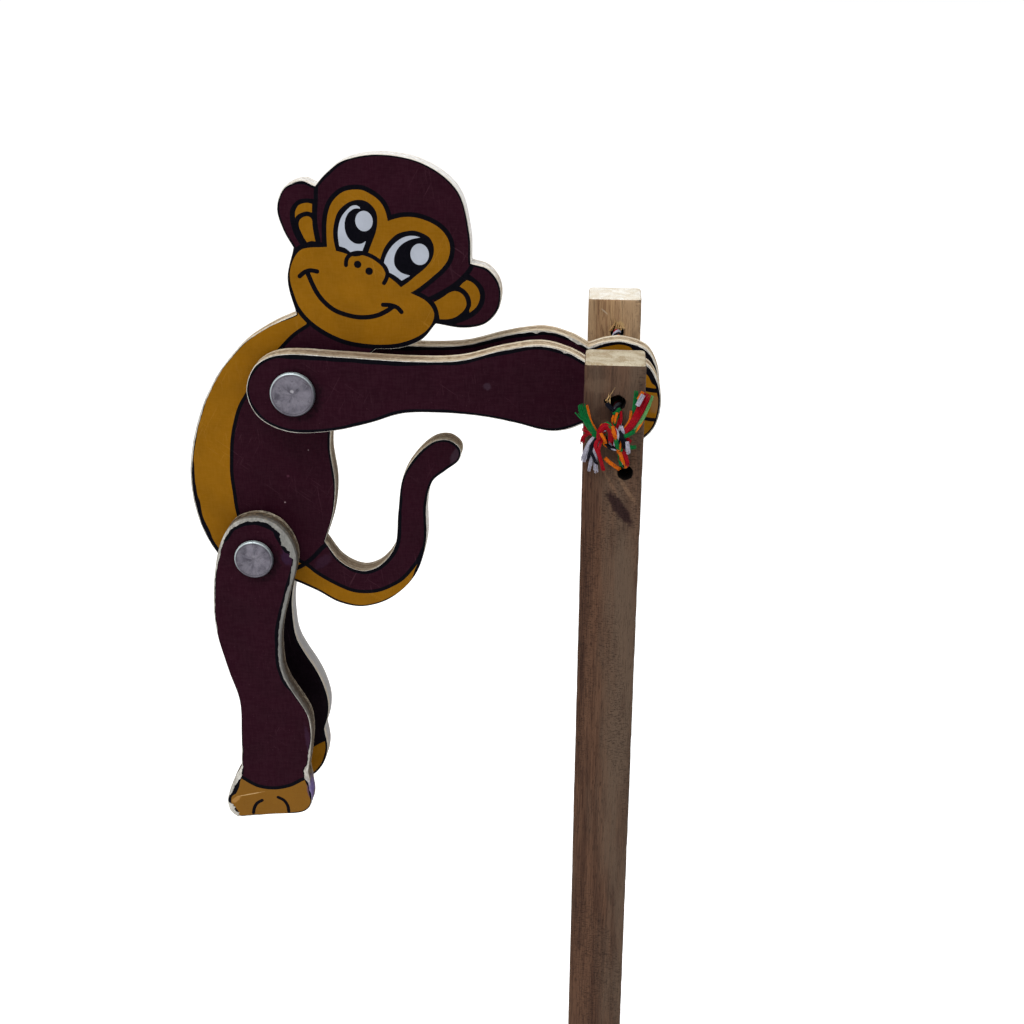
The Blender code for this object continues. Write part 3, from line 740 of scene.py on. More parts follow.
def build_board(name, node, ground, shapes, ink_widths, chip_widths, seed, torn=0.4):
    """A printed board sawn to its CAD part's outline; torn is how ragged its chipped rim is."""
    front, loops = face_loops(node)
    outline = flowing(loops[0], True, SAW_STEP, SAW_CORNER)
    holes = [flowing(loop, True, HOLE_STEP, HOLE_CORNER) for loop in loops[1:]]
    inward = left_normals(outline)
    lift = np.array([0.0, STRING_Z])
    bumps = ((0.5, 4.5, seed), (0.6, 1.5, seed + 3), (0.4, 0.6, seed))  # height, size and seed

    def chipped(points):
        """Widths of bare wood at points on the outline."""
        uneven = [sum(high * wobble(x, z, size, start) for high, size, start in bumps) for x, z in points]
        ragged = np.clip(1.0 + torn * np.array(uneven), 0.3, 1.7)
        return np.maximum(spread(chip_widths, points - lift) * ragged, 0.04)

    chips = chipped(outline)
    inked = np.array([1.0 + 0.22 * wobble(x, z, 5.0, seed + 7) for x, z in outline])
    inked = np.maximum(spread(ink_widths, outline - lift) * inked, chips + 0.03)
    placed = [{**shape, "points": [np.array(point) + lift for point in shape["points"]]} for shape in shapes]
    rim_loop, ink_loop = outline + inward * chips[:, None], outline + inward * inked[:, None]
    spots, corners, inks = cut_face(outline, holes, rim_loop, ink_loop, ground, placed)

    used = np.unique(corners)
    number = {int(old): new for new, old in enumerate(used)}
    corners = [tuple(number[int(i)] for i in face) for face in corners]
    spots = spots[used]
    count = len(spots)
    sides = {(face[i], face[(i + 1) % 3]) for face in corners for i in range(3)}
    rim = {a: b for a, b in sides if (b, a) not in sides}
    before = {b: a for a, b in rim.items()}
    drop, outward = {}, {}
    for a in rim:
        along = unit(spots[rim[a]] - spots[before[a]])
        outward[a] = np.array([along[1], -along[0]])
        worn = min(1.0, 3.0 * chipped(spots[a : a + 1])[0])
        drop[a] = EDGE_DROP * worn * (1.0 + 0.8 * wobble(*spots[a], 1.6, seed + 11))
    verts = [(x, front + drop.get(i, 0.0), z) for i, (x, z) in enumerate(spots)]
    verts += [(x, front + BOARD - drop.get(i, 0.0), z) for i, (x, z) in enumerate(spots)]
    faces = corners + [tuple(count + i for i in reversed(face)) for face in corners]
    slots = list(inks) * 2
    rings = [{a: a for a in rim}]
    for depth, stand, _ in EDGE_ROWS:
        rings.append({})
        for a in rim:
            (x, z), (out_x, out_z) = spots[a], outward[a]
            push = stand + 0.045 * wobble(x, z, 0.9, depth * 3 + seed)
            rings[-1][a] = len(verts)
            verts.append((x + out_x * push, front + depth, z + out_z * push))
    rings.append({a: count + a for a in rim})
    strips = [FACE_PLY] + [kind for _, _, kind in EDGE_ROWS]
    for upper, lower, kind in zip(rings[:-1], rings[1:], strips):
        faces += [(upper[a], lower[a], lower[b], upper[b]) for a, b in rim.items()]
        slots += [kind] * len(rim)
    mesh = shade(make_mesh(name, verts, faces, slots))
    link_piece(name, mesh, BOARD_SLOTS, frame["nodes"][node]["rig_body"], node)
    print(name, len(verts), "vertices,", len(holes), "holes")


print("board builder ready")

# %% [markdown]
# ## The drawing
# The face is one ochre shape with a black line round it, laid over the maroon head. The
# ears, belly and tail have ochre parts of their own. All places are in mm across from the
# middle of the grip and up from the string, read off the toy's front.

# %% Face, belly and tail
FACE = [
    (-61.1, 30.6), (-61.1, 33.7), (-61.0, 35.6), (-60.6, 37.9), (-59.9, 39.7), (-58.8, 41.1), (-57.1, 42.3),
    (-55.2, 42.7), (-53.2, 42.6), (-51.7, 41.9), (-50.1, 40.8), (-49.0, 39.4), (-48.4, 37.8), (-48.1, 36.3),
    (-46.6, 36.8), (-44.7, 37.2), (-42.7, 37.2), (-40.5, 36.7), (-38.6, 35.9), (-37.0, 34.8), (-35.9, 33.5),
    (-35.2, 31.9), (-35.1, 30.3), (-35.6, 28.3), (-36.7, 26.7), (-38.7, 24.8), (-40.7, 23.1), (-42.3, 21.9),
    (-43.6, 21.1), (-42.0, 20.4), (-40.4, 19.5), (-39.2, 18.2), (-38.6, 16.7), (-38.9, 15.0), (-40.0, 13.3),
    (-43.6, 10.9), (-46.0, 10.1), (-51.0, 9.6), (-54.2, 9.8), (-57.6, 10.4), (-60.9, 11.7), (-63.0, 12.9),
    (-65.0, 14.4), (-66.6, 16.1), (-67.8, 18.0), (-68.6, 20.4), (-69.2, 22.7), (-69.3, 24.3), (-69.0, 26.2),
    (-68.4, 27.7), (-67.6, 29.0), (-66.8, 29.8), (-64.7, 30.4), (-62.7, 30.5),
]
BELLY = [
    (-66.2, 13.8), (-69.1, 11.8), (-72.1, 8.8), (-76.4, 3.6), (-80.3, -1.9), (-82.2, -5.2), (-83.4, -8.8),
    (-84.3, -12.9), (-84.7, -17.0), (-84.9, -21.2), (-84.6, -25.3), (-84.2, -29.8), (-83.2, -34.0),
    (-81.5, -38.0), (-79.5, -41.5), (-79.0, -52.0), (-100.0, -50.0), (-104.0, -10.0), (-90.0, 20.0),
    (-64.0, 24.0),
]
TAIL_STRIPE = [
    (-71.5, -41.5), (-68.5, -43.2), (-66.6, -44.8), (-63.6, -46.7), (-60.7, -48.2), (-58.4, -49.1),
    (-54.9, -49.4), (-51.9, -48.9), (-48.9, -47.5), (-46.5, -45.9), (-44.4, -43.5), (-42.6, -40.9),
    (-41.4, -38.2), (-38.0, -40.0), (-38.0, -48.0), (-46.0, -58.0), (-60.0, -60.0), (-76.0, -54.0),
]
print("the face has", len(FACE), "points")

# %% Ears
LEFT_EAR = [
    (-63.4, 40.6), (-65.1, 40.7), (-66.7, 40.4), (-67.8, 39.5), (-68.5, 38.4), (-68.7, 36.7), (-68.5, 35.0),
    (-68.1, 33.5), (-67.4, 32.0), (-66.8, 31.0), (-63.2, 30.6),
]
LEFT_EAR_FOLD = [
    (-63.9, 39.6), (-64.8, 39.8), (-65.7, 39.7), (-66.7, 39.3), (-67.3, 38.5), (-67.6, 37.5), (-67.6, 36.6),
    (-67.0, 37.3), (-66.2, 37.7), (-65.2, 38.0), (-64.0, 37.8),
]
LEFT_EAR_INNER = [
    (-66.9, 35.4), (-66.7, 36.1), (-66.1, 36.7), (-65.1, 37.0), (-64.4, 36.8), (-64.1, 36.4), (-64.0, 35.1),
    (-63.8, 33.4), (-63.5, 31.7), (-64.3, 31.8), (-65.3, 31.5), (-65.9, 32.4), (-66.4, 33.5), (-66.8, 34.5),
]
RIGHT_EAR = [
    (-31.1, 25.4), (-29.8, 24.4), (-28.6, 23.3), (-27.9, 22.1), (-27.7, 20.6), (-27.9, 19.3), (-28.6, 17.9),
    (-29.8, 16.6), (-31.6, 15.5), (-33.5, 14.7), (-35.2, 14.2), (-37.1, 14.2), (-38.2, 15.3), (-38.8, 17.5),
    (-38.6, 19.7), (-35.1, 21.9),
]
RIGHT_EAR_FOLD = [
    (-33.1, 22.7), (-32.4, 23.5), (-31.6, 24.1), (-30.9, 23.9), (-29.8, 23.1), (-29.0, 21.8), (-28.8, 20.8),
    (-29.0, 19.5), (-29.8, 18.1), (-31.0, 17.1), (-31.1, 17.6), (-30.7, 18.5), (-30.7, 19.6), (-31.1, 20.9),
    (-32.0, 22.0),
]
RIGHT_EAR_INNER = [
    (-38.6, 19.2), (-36.6, 20.4), (-35.2, 21.4), (-34.3, 21.7), (-33.2, 21.5), (-32.4, 20.9), (-31.8, 19.8),
    (-31.7, 18.7), (-32.2, 17.6), (-33.0, 16.8), (-34.1, 16.0), (-35.4, 15.6), (-37.4, 15.5), (-37.7, 17.1),
    (-38.1, 18.4),
]
print("the ears have", len(LEFT_EAR) + len(RIGHT_EAR), "points")

# %% Eyes
LEFT_EYE = [
    (-59.2, 29.8), (-59.6, 31.8), (-59.7, 33.7), (-59.3, 36.0), (-58.6, 37.9), (-57.2, 39.4), (-55.9, 40.2),
    (-54.3, 40.6), (-52.7, 40.4), (-51.4, 39.5), (-50.5, 38.1), (-50.3, 36.2), (-50.6, 34.2), (-51.3, 32.3),
    (-52.0, 30.6), (-52.5, 29.3), (-55.6, 28.7), (-57.6, 29.4),
]
LEFT_EYE_WHITE = [
    (-53.9, 39.1), (-54.6, 39.45), (-55.5, 39.35), (-56.6, 38.5), (-57.8, 37.0), (-58.5, 35.0),
    (-58.7, 33.1), (-58.5, 30.8), (-57.2, 30.4), (-56.2, 29.6), (-53.6, 29.9), (-52.8, 32.1),
]
RIGHT_EYE = [
    (-49.9, 28.2), (-48.9, 30.7), (-47.7, 32.3), (-46.0, 33.7), (-44.4, 34.2), (-42.8, 34.4), (-40.9, 33.9),
    (-39.4, 33.0), (-38.6, 31.5), (-38.5, 29.9), (-39.0, 28.3), (-40.3, 26.6), (-42.3, 24.9), (-44.3, 23.2),
    (-45.6, 22.3), (-46.9, 23.5), (-48.4, 24.7),
]
RIGHT_EYE_WHITE = [
    (-49.1, 27.2), (-48.6, 29.0), (-47.6, 30.7), (-46.1, 32.2), (-44.4, 33.1), (-42.8, 33.3), (-41.3, 33.0),
    (-43.6, 32.4), (-45.3, 31.4), (-46.3, 30.2), (-46.9, 28.6), (-46.8, 26.9), (-45.6, 25.5), (-43.6, 24.8),
    (-45.4, 23.7), (-47.2, 25.0), (-48.5, 25.6),
]
print("the eyes have", len(LEFT_EYE) + len(RIGHT_EYE), "points")

# %% All shapes on the body, in the order in which they are painted
BODY_SHAPES = [
    area(OCHRE, BELLY, 0.8), area(OCHRE, TAIL_STRIPE, 0.85),
    stroke(1.0, [(-62.6, -36.6), (-64.4, -38.0), (-67.3, -41.1), (-69.4, -42.8), (-73.0, -44.6)]),
    area(BLACK, LEFT_EAR), area(OCHRE, LEFT_EAR_FOLD), area(OCHRE, LEFT_EAR_INNER),
    area(BLACK, RIGHT_EAR), area(OCHRE, RIGHT_EAR_FOLD), area(OCHRE, RIGHT_EAR_INNER),
    stroke(0.9, [(-62.4, 45.0), (-62.8, 43.7), (-63.0, 42.2), (-63.1, 40.3), (-63.3, 38.4), (-63.4, 36.5),
                 (-63.3, 34.6), (-63.0, 32.8), (-62.8, 30.8)]),
    stroke(0.98, [(-29.6, 29.2), (-30.2, 27.8), (-31.1, 26.1), (-32.3, 24.7), (-33.9, 23.2), (-35.8, 21.9),
                  (-37.5, 20.9), (-39.2, 20.0), (-40.4, 19.4)]),
    area(OCHRE, FACE, 1.0),
    area(BLACK, LEFT_EYE), area(WHITE, LEFT_EYE_WHITE), oval(BLACK, -54.4, 35.1, 2.82, 3.75),
    oval(WHITE, -53.1, 36.2, 1.85, 2.15),
    area(BLACK, RIGHT_EYE), area(WHITE, RIGHT_EYE_WHITE), oval(WHITE, -41.5, 29.4, 1.96, 2.28),
    stroke(0.88, [(-57.2, 26.8), (-57.1, 27.8), (-56.7, 28.6), (-55.9, 29.2), (-54.6, 29.5), (-52.7, 29.2),
                  (-50.4, 28.0), (-48.9, 26.5), (-48.4, 25.1), (-48.7, 24.0), (-49.2, 23.1)]),
    oval(BLACK, -54.7, 27.0, 0.80, 0.80), oval(BLACK, -52.3, 25.6, 0.82, 0.82),
    stroke(1.0, [(-65.4, 24.8), (-64.5, 22.5), (-63.5, 20.5), (-61.9, 18.5), (-60.0, 17.0), (-57.7, 16.1),
                  (-55.3, 15.6), (-53.0, 15.6), (-50.7, 16.1), (-48.7, 17.1), (-47.4, 18.0)]),
    stroke(0.95, [(-67.2, 24.2), (-66.1, 25.1), (-64.9, 25.5), (-63.4, 25.3)]),
    stroke(0.95, [(-49.5, 18.4), (-47.7, 18.3), (-46.4, 17.8), (-45.6, 16.9)]),
]
print(len(BODY_SHAPES), "shapes on the body")

# %% Head, torso and tail board
# How wide the black edge and the chipped rim are: places on the outline with widths in mm
BODY_INK = [
    (-50, 50, 0.38), (-40, 48, 0.38), (-33, 42, 0.42), (-31, 34, 0.48), (-29.5, 27.4, 0.55),
    (-25.4, 25.0, 0.5), (-24.4, 20, 0.5), (-27, 15, 0.55), (-34, 13.7, 0.65), (-39.5, 12.8, 0.4),
    (-45, 9.3, 0.4), (-55, 49.3, 0.4), (-58.5, 47.6, 0.6), (-61.5, 45, 0.75), (-64.3, 43.8, 0.65),
    (-66.1, 44.4, 0.75), (-67.5, 43.8, 0.65), (-70.2, 42, 0.5), (-71.3, 38.4, 0.42), (-70.4, 34, 0.42),
    (-68.8, 31.3, 0.5), (-69.8, 23, 0.28), (-68.5, 17, 0.34), (-66, 14, 0.4), (-74.7, 12.9, 0.14),
    (-84.9, 4.1, 0.3), (-88.4, -1.6, 0.42), (-91.3, -8.4, 0.52), (-93.2, -15, 0.68), (-94, -22, 0.95),
    (-94, -26, 1.1), (-93.6, -28.7, 1.35), (-92, -34.3, 1.25), (-90, -38.8, 1.0), (-82, -46, 0.5),
    (-75, -47, 0.5), (-69, -47.2, 0.55), (-60.9, -51.8, 0.5), (-52.6, -52.2, 0.32), (-45.9, -47.7, 0.12),
    (-42.2, -40.6, 0.65), (-41, -31, 0.7), (-40.4, -23, 0.6), (-36, -18.6, 0.6), (-33.3, -16, 0.5),
    (-33.2, -13.2, 0.6), (-36.2, -11.7, 0.6), (-42.2, -15.3, 0.65), (-46.6, -23.3, 0.45), (-47.2, -27, 0.7),
    (-47.4, -32, 0.9), (-49.6, -40.5, 0.9), (-55.9, -43.7, 0.85), (-61.4, -41.1, 0.55), (-64, -37.2, 0.3),
    (-62.6, -32, 0.2), (-61.2, -25, 0.4), (-61.4, -18, 0.6), (-61.8, -12, 0.65),
]
BODY_CHIPS = [
    (-50, 50, 0.06), (-36, 46, 0.06), (-31, 38, 0.10), (-26.5, 26.3, 0.06), (-24.4, 19, 0.14),
    (-30, 27.6, 0.08), (-58, 48, 0.06), (-62, 44.6, 0.05), (-65, 44.1, 0.10), (-67.5, 43.8, 0.22),
    (-69.5, 42.5, 0.20), (-71, 38, 0.08), (-69.8, 23, 0.08), (-78, 10, 0.10), (-84.9, 4.1, 0.22),
    (-88.4, -1.6, 0.34), (-91.3, -8.4, 0.38), (-93.2, -15, 0.42), (-94, -22, 0.35), (-93.6, -28.7, 0.34),
    (-92, -34.3, 0.28), (-90, -38.8, 0.18), (-88, -41, 0.10), (-60, -52, 0.05), (-45, -46, 0.04),
    (-41, -32, 0.05), (-36, -19, 0.05), (-33.2, -14, 0.12), (-36.5, -11.8, 0.10), (-44, -18, 0.06),
    (-48, -36, 0.06), (-62, -30, 0.08),
]
build_board("printed_body", "body_board", MAROON, BODY_SHAPES, BODY_INK, BODY_CHIPS, 1.0)

# %% [markdown]
# ## Arms and legs
# Both arms were sawn to one pattern, and both legs to another, so one drawing serves each
# pair. The rear leg's pivot hole was drilled lower, so its drawing is lifted and turned
# about the hip in the same way. The front leg is the most worn: its rim is chipped to wood.

# %% Arms
HAND = [
    (-5.6, 9.6), (-4.8, 4.4), (-4.8, -0.6), (-5.8, -6.4), (2.0, -14.0), (14.0, -12.0), (16.0, 0.0),
    (12.0, 9.0), (4.0, 14.0),
]
ARM_SHAPES = [
    area(OCHRE, HAND, 0.9),
    stroke(0.95, [(2.6, 3.9), (5.4, 3.2), (8.0, 2.7), (11.5, 2.6)]),
    stroke(0.8, [(2.2, -2.4), (5.0, -3.2), (8.0, -3.8), (11.5, -3.9)]),
    stroke(0.8, [(-2.6, 1.8), (-2.0, -2.0), (-0.4, -5.0)]),
]
ARM_INK = [
    (-75, 7.6, 0.75), (-66, 8.7, 1.15), (-50, 8, 1.1), (-35, 8.1, 0.9), (-20, 11.6, 1.0), (-9, 10.3, 0.85),
    (2, 9.7, 0.9), (6.5, 8.2, 1.9), (9.0, 5.6, 1.5), (9.9, 3, 0.75), (10, 0, 0.6), (9.5, -4.2, 0.6),
    (6.8, -8.6, 0.6), (0, -9.8, 0.6), (-7, -5.2, 0.8), (-15, -6.8, 0.55), (-28, -4.5, 0.6),
    (-41, -3.6, 0.75), (-49, -5, 0.8), (-60, -8.3, 0.8), (-68, -8.6, 0.75), (-76, -6.3, 0.8),
    (-78.6, 0, 0.5),
]
ARM_CHIPS = [
    (-78, 3, 0.14), (-70, 8.6, 0.16), (-50, 8, 0.14), (-30, 9, 0.16), (-22, 11, 0.2), (-12.0, 11.2, 0.2),
    (-7, 9.0, 0.28), (2, 9.8, 0.2), (8.5, 7, 0.3), (10, 0, 0.25), (6, -9, 0.2), (-6, -5.2, 0.3),
    (-15, -6.8, 0.12), (-40, -3.6, 0.10), (-60, -8.3, 0.12), (-76, -6.3, 0.22),
]
FRONT_ARM_CHIPS = ARM_CHIPS + [(-11.3, 10.9, 0.18), (-10.6, 10.6, 0.5), (-9.8, 10.2, 0.18)]
REAR_ARM_CHIPS = ARM_CHIPS + [(-18.0, 11.3, 0.2), (-17.0, 11.4, 0.8), (-16.0, 11.4, 0.2), (-7.8, 9.2, 0.7)]
build_board("printed_front_arm", "front_arm", MAROON, ARM_SHAPES, ARM_INK, FRONT_ARM_CHIPS, 2.0)
build_board("printed_rear_arm", "rear_arm", MAROON, ARM_SHAPES, ARM_INK, REAR_ARM_CHIPS, 3.0)

# %% The drawing and the worn rim of a leg
FOOT = [
    (-85.3, -96.3), (-81.7, -98.4), (-77.7, -98.9), (-73.5, -97.9), (-70.2, -96.0), (-62.0, -94.0),
    (-62.0, -112.0), (-96.0, -112.0), (-94.0, -92.0),
]
LEG_SHAPES = [
    area(OCHRE, FOOT, 0.88),
    stroke(0.78, [(-80.7, -102.0), (-82.0, -102.9), (-82.7, -104.2), (-83.0, -105.6)]),
    stroke(0.78, [(-76.8, -101.0), (-75.4, -101.8), (-74.6, -103.2), (-74.4, -104.8)]),
]
LEG_INK = [
    (-79, -29.1, 1.75), (-82.2, -30, 1.55), (-85, -32.3, 1.2), (-87, -37, 0.6), (-88.4, -43, 0.5),
    (-89.1, -54, 0.35), (-88.3, -61, 0.14), (-86.5, -68, 0.14), (-85, -76, 0.16), (-84.8, -84, 0.2),
    (-85, -91, 0.4), (-86.4, -95.3, 1.3), (-88, -99, 1.6), (-89, -102, 0.8), (-88.5, -105.6, 1.5),
    (-85.5, -106.6, 0.3), (-79, -105.8, 0.1), (-69.5, -103, 0.3), (-69.0, -99, 0.6), (-69.4, -95, 1.15),
    (-68.8, -90, 0.5), (-68.1, -83, 0.25), (-69, -77, 0.2), (-71, -73.5, 0.4), (-73.3, -69, 0.95),
    (-74.3, -64, 1.15), (-74.2, -57, 1.2), (-72.8, -51.4, 1.2), (-71.4, -46.4, 1.1), (-70.2, -42, 1.1),
    (-69.7, -39, 0.9), (-70.5, -35.5, 2.45), (-72, -32.6, 2.4), (-74.2, -30.5, 1.85), (-76.5, -29.4, 1.75),
]
LEG_CHIPS = [
    (-79, -29.1, 0.9), (-82.2, -30, 0.8), (-85, -32.3, 0.6), (-87, -37, 0.5), (-88.4, -43, 0.42),
    (-88.9, -48, 0.32), (-89.2, -54, 0.26), (-88.3, -61, 0.05), (-86.5, -68, 0.05), (-85, -76, 0.05),
    (-84.9, -84, 0.05), (-85, -91, 0.2), (-86.4, -95.3, 1.0), (-88, -99, 0.8), (-89, -102, 0.2),
    (-88.9, -104.5, 1.3), (-87.4, -106.2, 1.2), (-85.5, -106.6, 0.15), (-80, -106, 0.05), (-72, -105, 0.05),
    (-69.0, -101, 0.12), (-69.1, -97.5, 0.4), (-69.4, -94.5, 0.85), (-68.8, -90, 0.4), (-68.1, -83, 0.15),
    (-69, -77, 0.1), (-71, -73.5, 0.12), (-73.3, -69, 0.3), (-74.3, -64, 0.42), (-74.2, -57, 0.45),
    (-72.8, -51.4, 0.5), (-71.4, -46.4, 0.6), (-70.2, -42, 0.75), (-69.7, -39.4, 0.6), (-69.9, -37.5, 1.2),
    (-70.6, -35, 1.9), (-71.8, -33, 1.7), (-73.3, -31.2, 1.0), (-75, -30, 0.85), (-77, -29.3, 0.8),
]
print("the front leg's rim has", len(LEG_CHIPS), "widths")

# %% Both legs
REAR_LEG_LIFT = 3.0  # how much lower the rear leg's pivot hole is on its board
REAR_LEG_TURN = math.radians(2.3)
hip = np.array([HIP.x, HIP.z - STRING_Z])


def on_rear_leg(point):
    """Where a point of the front leg's drawing is on the rear leg."""
    x, z = np.array(point[:2]) - hip + (0.0, REAR_LEG_LIFT)
    swung = (x * math.cos(REAR_LEG_TURN) - z * math.sin(REAR_LEG_TURN),
             x * math.sin(REAR_LEG_TURN) + z * math.cos(REAR_LEG_TURN))
    return (*(np.array(swung) + hip), *point[2:])


rear_shapes = [{**shape, "points": [on_rear_leg(point) for point in shape["points"]]} for shape in LEG_SHAPES]
rear_ink = [on_rear_leg((x, z, 0.45 + width * 0.15)) for x, z, width in LEG_INK]
rear_chips = [on_rear_leg((x, z, 0.05 + width * 0.08)) for x, z, width in LEG_CHIPS]
build_board("printed_front_leg", "front_leg", MAROON, LEG_SHAPES, LEG_INK, LEG_CHIPS, 4.0, 0.65)
# The rear leg gets the darkened maroon as painted shade
build_board("printed_rear_leg", "rear_leg", PAINTED_SHADE_MAROON, rear_shapes, rear_ink, rear_chips, 5.0)

# %% [markdown]
# ## Rivets, burrs and nails
# Each rivet head is a flat disc with a small dimple where it was turned, a rounded rim and
# faint dents from the hammer. A cylinder with a bevel has none of these. A profile spun round
# the pin's line gives them all, and noise then moves its rings a little. The metal is dull,
# with fine scratches in every direction.

# %% Group: marks left on a turned disc
turned, take, give = new_group(
    "turned disc",
    [("Place", VECTOR, ORIGIN), ("Middle", VECTOR, ORIGIN), ("Radius", VALUE, 4.0)],
    [("Wedges", VALUE), ("Scratches", VALUE), ("Rim", VALUE), ("Groove", VALUE), ("Dimple", VALUE)],
)
offset = vector_step(turned, "SUBTRACT", take["Place"], take["Middle"])
offset = vector_step(turned, "MULTIPLY", offset, (1.0, 0.0, 1.0))
reach = vector_step(turned, "LENGTH", offset)
inward = put(turned, "CombineXYZ", {1: reckon(turned, "MULTIPLY", reach, 0.16)}).outputs[0]
polar = vector_step(turned, "ADD", vector_step(turned, "NORMALIZE", offset), inward)
seeded = vector_step(turned, "ADD", polar, take["Middle"])
from_rim = reckon(turned, "SUBTRACT", take["Radius"], reach)
from_groove = reckon(turned, "ABSOLUTE", reckon(turned, "SUBTRACT", from_rim, 0.56))
from_dimple = vector_step(turned, "DISTANCE", offset, (0.0, 0.0, 0.8))
fill(turned, give, {
    "Wedges": ramp(turned, stretched_noise(turned, seeded, 1.5, 3.0), 0.34, 0.66),
    "Scratches": ramp(turned, stretched_noise(turned, seeded, 9.0, 3.0), 0.58, 0.68),
    "Rim": ramp(turned, from_rim, 0.36, 0.22),
    "Groove": ramp(turned, from_groove, 0.16, 0.04),
    "Dimple": ramp(turned, from_dimple, 0.55, 0.15),
})

# %% Metal finishes


def start_metal(name, pale, dark):
    """A dull metal, clouded and scratched every way, with its colour still to be linked."""
    material, tree, shader, place = start_material(name)
    shader.inputs["Metallic"].default_value = 0.6
    wear = grouped(tree, scuffs, {"Place": place, "Amount": 1.0})
    cloud = stretched_noise(tree, place, 0.7, 5.0)
    base = blend_colours(tree, ramp(tree, cloud, 0.34, 0.66), colour(*dark), colour(*pale))
    scratch = scratches(tree, place, (0.4, 0.4, 6.5), (20, 75, 130), 0.66, 0.72)
    base = lay(tree, base, scratch, (170, 168, 178), 0.3)
    base = lay(tree, base, wear["Marks"], (62, 54, 60))
    return material, tree, shader, place, base, cloud, scratch


def make_metal(name, pale, dark, roughness):
    material, tree, shader, _, base, cloud, scratch = start_metal(name, pale, dark)
    gloss = ramp(tree, cloud, 0.3, 0.7, roughness + 0.12, roughness - 0.08)
    end_material(tree, shader, base, gloss, reckon(tree, "SUBTRACT", cloud, scratch), 0.05)
    return material


LIT_SIDE = (-0.5, 0.0, 0.86)  # painted highlight: the rim is painted brightest up and to the left, where the light falls


def make_rivet_metal(name, middle, radius, dimpled):
    """A rivet head: wedges and scratches run out from its dimple to a rim with a painted highlight and shade.
    """
    material, tree, shader, place, base, cloud, scratch = start_metal(name, (98, 95, 104), (68, 65, 75))
    disc = grouped(tree, turned, {"Place": place, "Middle": tuple(middle), "Radius": radius})
    base = lay(tree, base, disc["Wedges"], (124, 120, 131), 0.55)
    base = lay(tree, base, disc["Scratches"], (66, 60, 68), 0.4)
    base = lay(tree, base, disc["Groove"], (62, 60, 66), 0.6)
    # Painted highlight and shade: the rim is pale on its upper left and dark on its lower right
    corner = vector_step(tree, "DOT_PRODUCT", place, LIT_SIDE)
    level = Vector(middle).dot(LIT_SIDE)
    wear_and_highlight = ramp(tree, corner, level - radius * 0.6, level + radius)
    rim = blend_colours(tree, wear_and_highlight, colour(66, 66, 74), colour(186, 198, 200))
    base = blend_colours(tree, disc["Rim"], base, rim)
    base = lay(tree, base, disc["Dimple"], (172, 170, 176), dimpled)
    height = reckon(tree, "SUBTRACT", cloud, reckon(tree, "ADD", scratch, disc["Scratches"]))
    end_material(tree, shader, base, ramp(tree, cloud, 0.3, 0.7, 0.56, 0.40), height, 0.04)
    return material


SHOULDER_HEAD, HIP_HEAD = 4.9, 4.4  # radii of the rivets' heads
shoulder_metal = make_rivet_metal("shoulder rivet metal", SHOULDER, SHOULDER_HEAD, 0.8)
hip_metal = make_rivet_metal("hip rivet metal", HIP, HIP_HEAD, 0.2)
burr_metal = make_metal("burr metal", (126, 120, 126), (92, 88, 94), 0.46)
nail_steel = make_metal("nail steel", (120, 116, 112), (70, 62, 56), 0.42)
print("metals:", [metal.name for metal in (shoulder_metal, hip_metal, burr_metal, nail_steel)])

# %% Spin a profile about a line along Y
ROUND = 72  # points in a ring


def bands(rings):
    """Faces between each ring of point numbers and the next, all the way round."""
    faces = []
    for near, far in zip(rings[:-1], rings[1:]):
        for i in range(len(near)):
            j = (i + 1) % len(near)
            faces.append((near[i], near[j], far[j], far[i]))
    return faces


def spin(name, profile, middle, dent, metal, body, node):
    """A turned piece: profile gives radius and place along Y, from tip to tip, in mm."""
    verts, rings = [], []
    for level, (radius, along) in enumerate(profile):
        if radius == 0:
            rings.append([len(verts)] * ROUND)
            verts.append((middle.x, along, middle.z))
            continue
        rings.append(list(range(len(verts), len(verts) + ROUND)))
        for step in range(ROUND):
            turn = math.tau * step / ROUND
            x, z = middle.x + radius * math.cos(turn), middle.z + radius * math.sin(turn)
            verts.append((x, along + dent * wobble(x, z, 1.3, level * 0.1), z))
    if profile[0][0] > 0:
        rings.append(rings[0])
    mesh = make_mesh(name, verts, [tuple(dict.fromkeys(face)) for face in bands(rings)])
    form = bmesh.new()
    form.from_mesh(mesh)
    bmesh.ops.recalc_face_normals(form, faces=form.faces)
    form.to_mesh(mesh)
    form.free()
    link_piece(name, shade(mesh, 40.0), [metal], body, node)
    print(name, len(verts), "vertices")


# %% Rivets, burrs and nails
STACK = 8.4  # half of the three boards' thickness with their gaps
HEAD_FACE = -STACK - 0.3 - 0.9  # past a gap of 0.3 and a head 0.9 thick
PEEN = STACK + 0.6 + 0.8  # where a rivet's far end begins to spread over its burr


def head_profile(radius, face, far):
    """A flat head with a dimple, a shank, and a far end hammered into a dome."""
    return [
        (0.0, face + 0.20), (0.30, face + 0.17), (0.55, face + 0.05), (0.9, face), (1.5, face - 0.02),
        (2.2, face), (2.9, face + 0.01), (radius - 0.8, face), (radius - 0.66, face + 0.04),
        (radius - 0.5, face + 0.05), (radius - 0.38, face - 0.03), (radius - 0.22, face + 0.02),
        (radius - 0.08, face + 0.16), (radius, face + 0.45), (radius, face + 0.9), (1.5, face + 0.9),
        (1.5, far), (2.3, far), (2.5, far + 0.15), (2.4, far + 0.45), (2.0, far + 0.72), (1.3, far + 0.92),
        (0.6, far + 0.98), (0.0, far + 1.0),
    ]


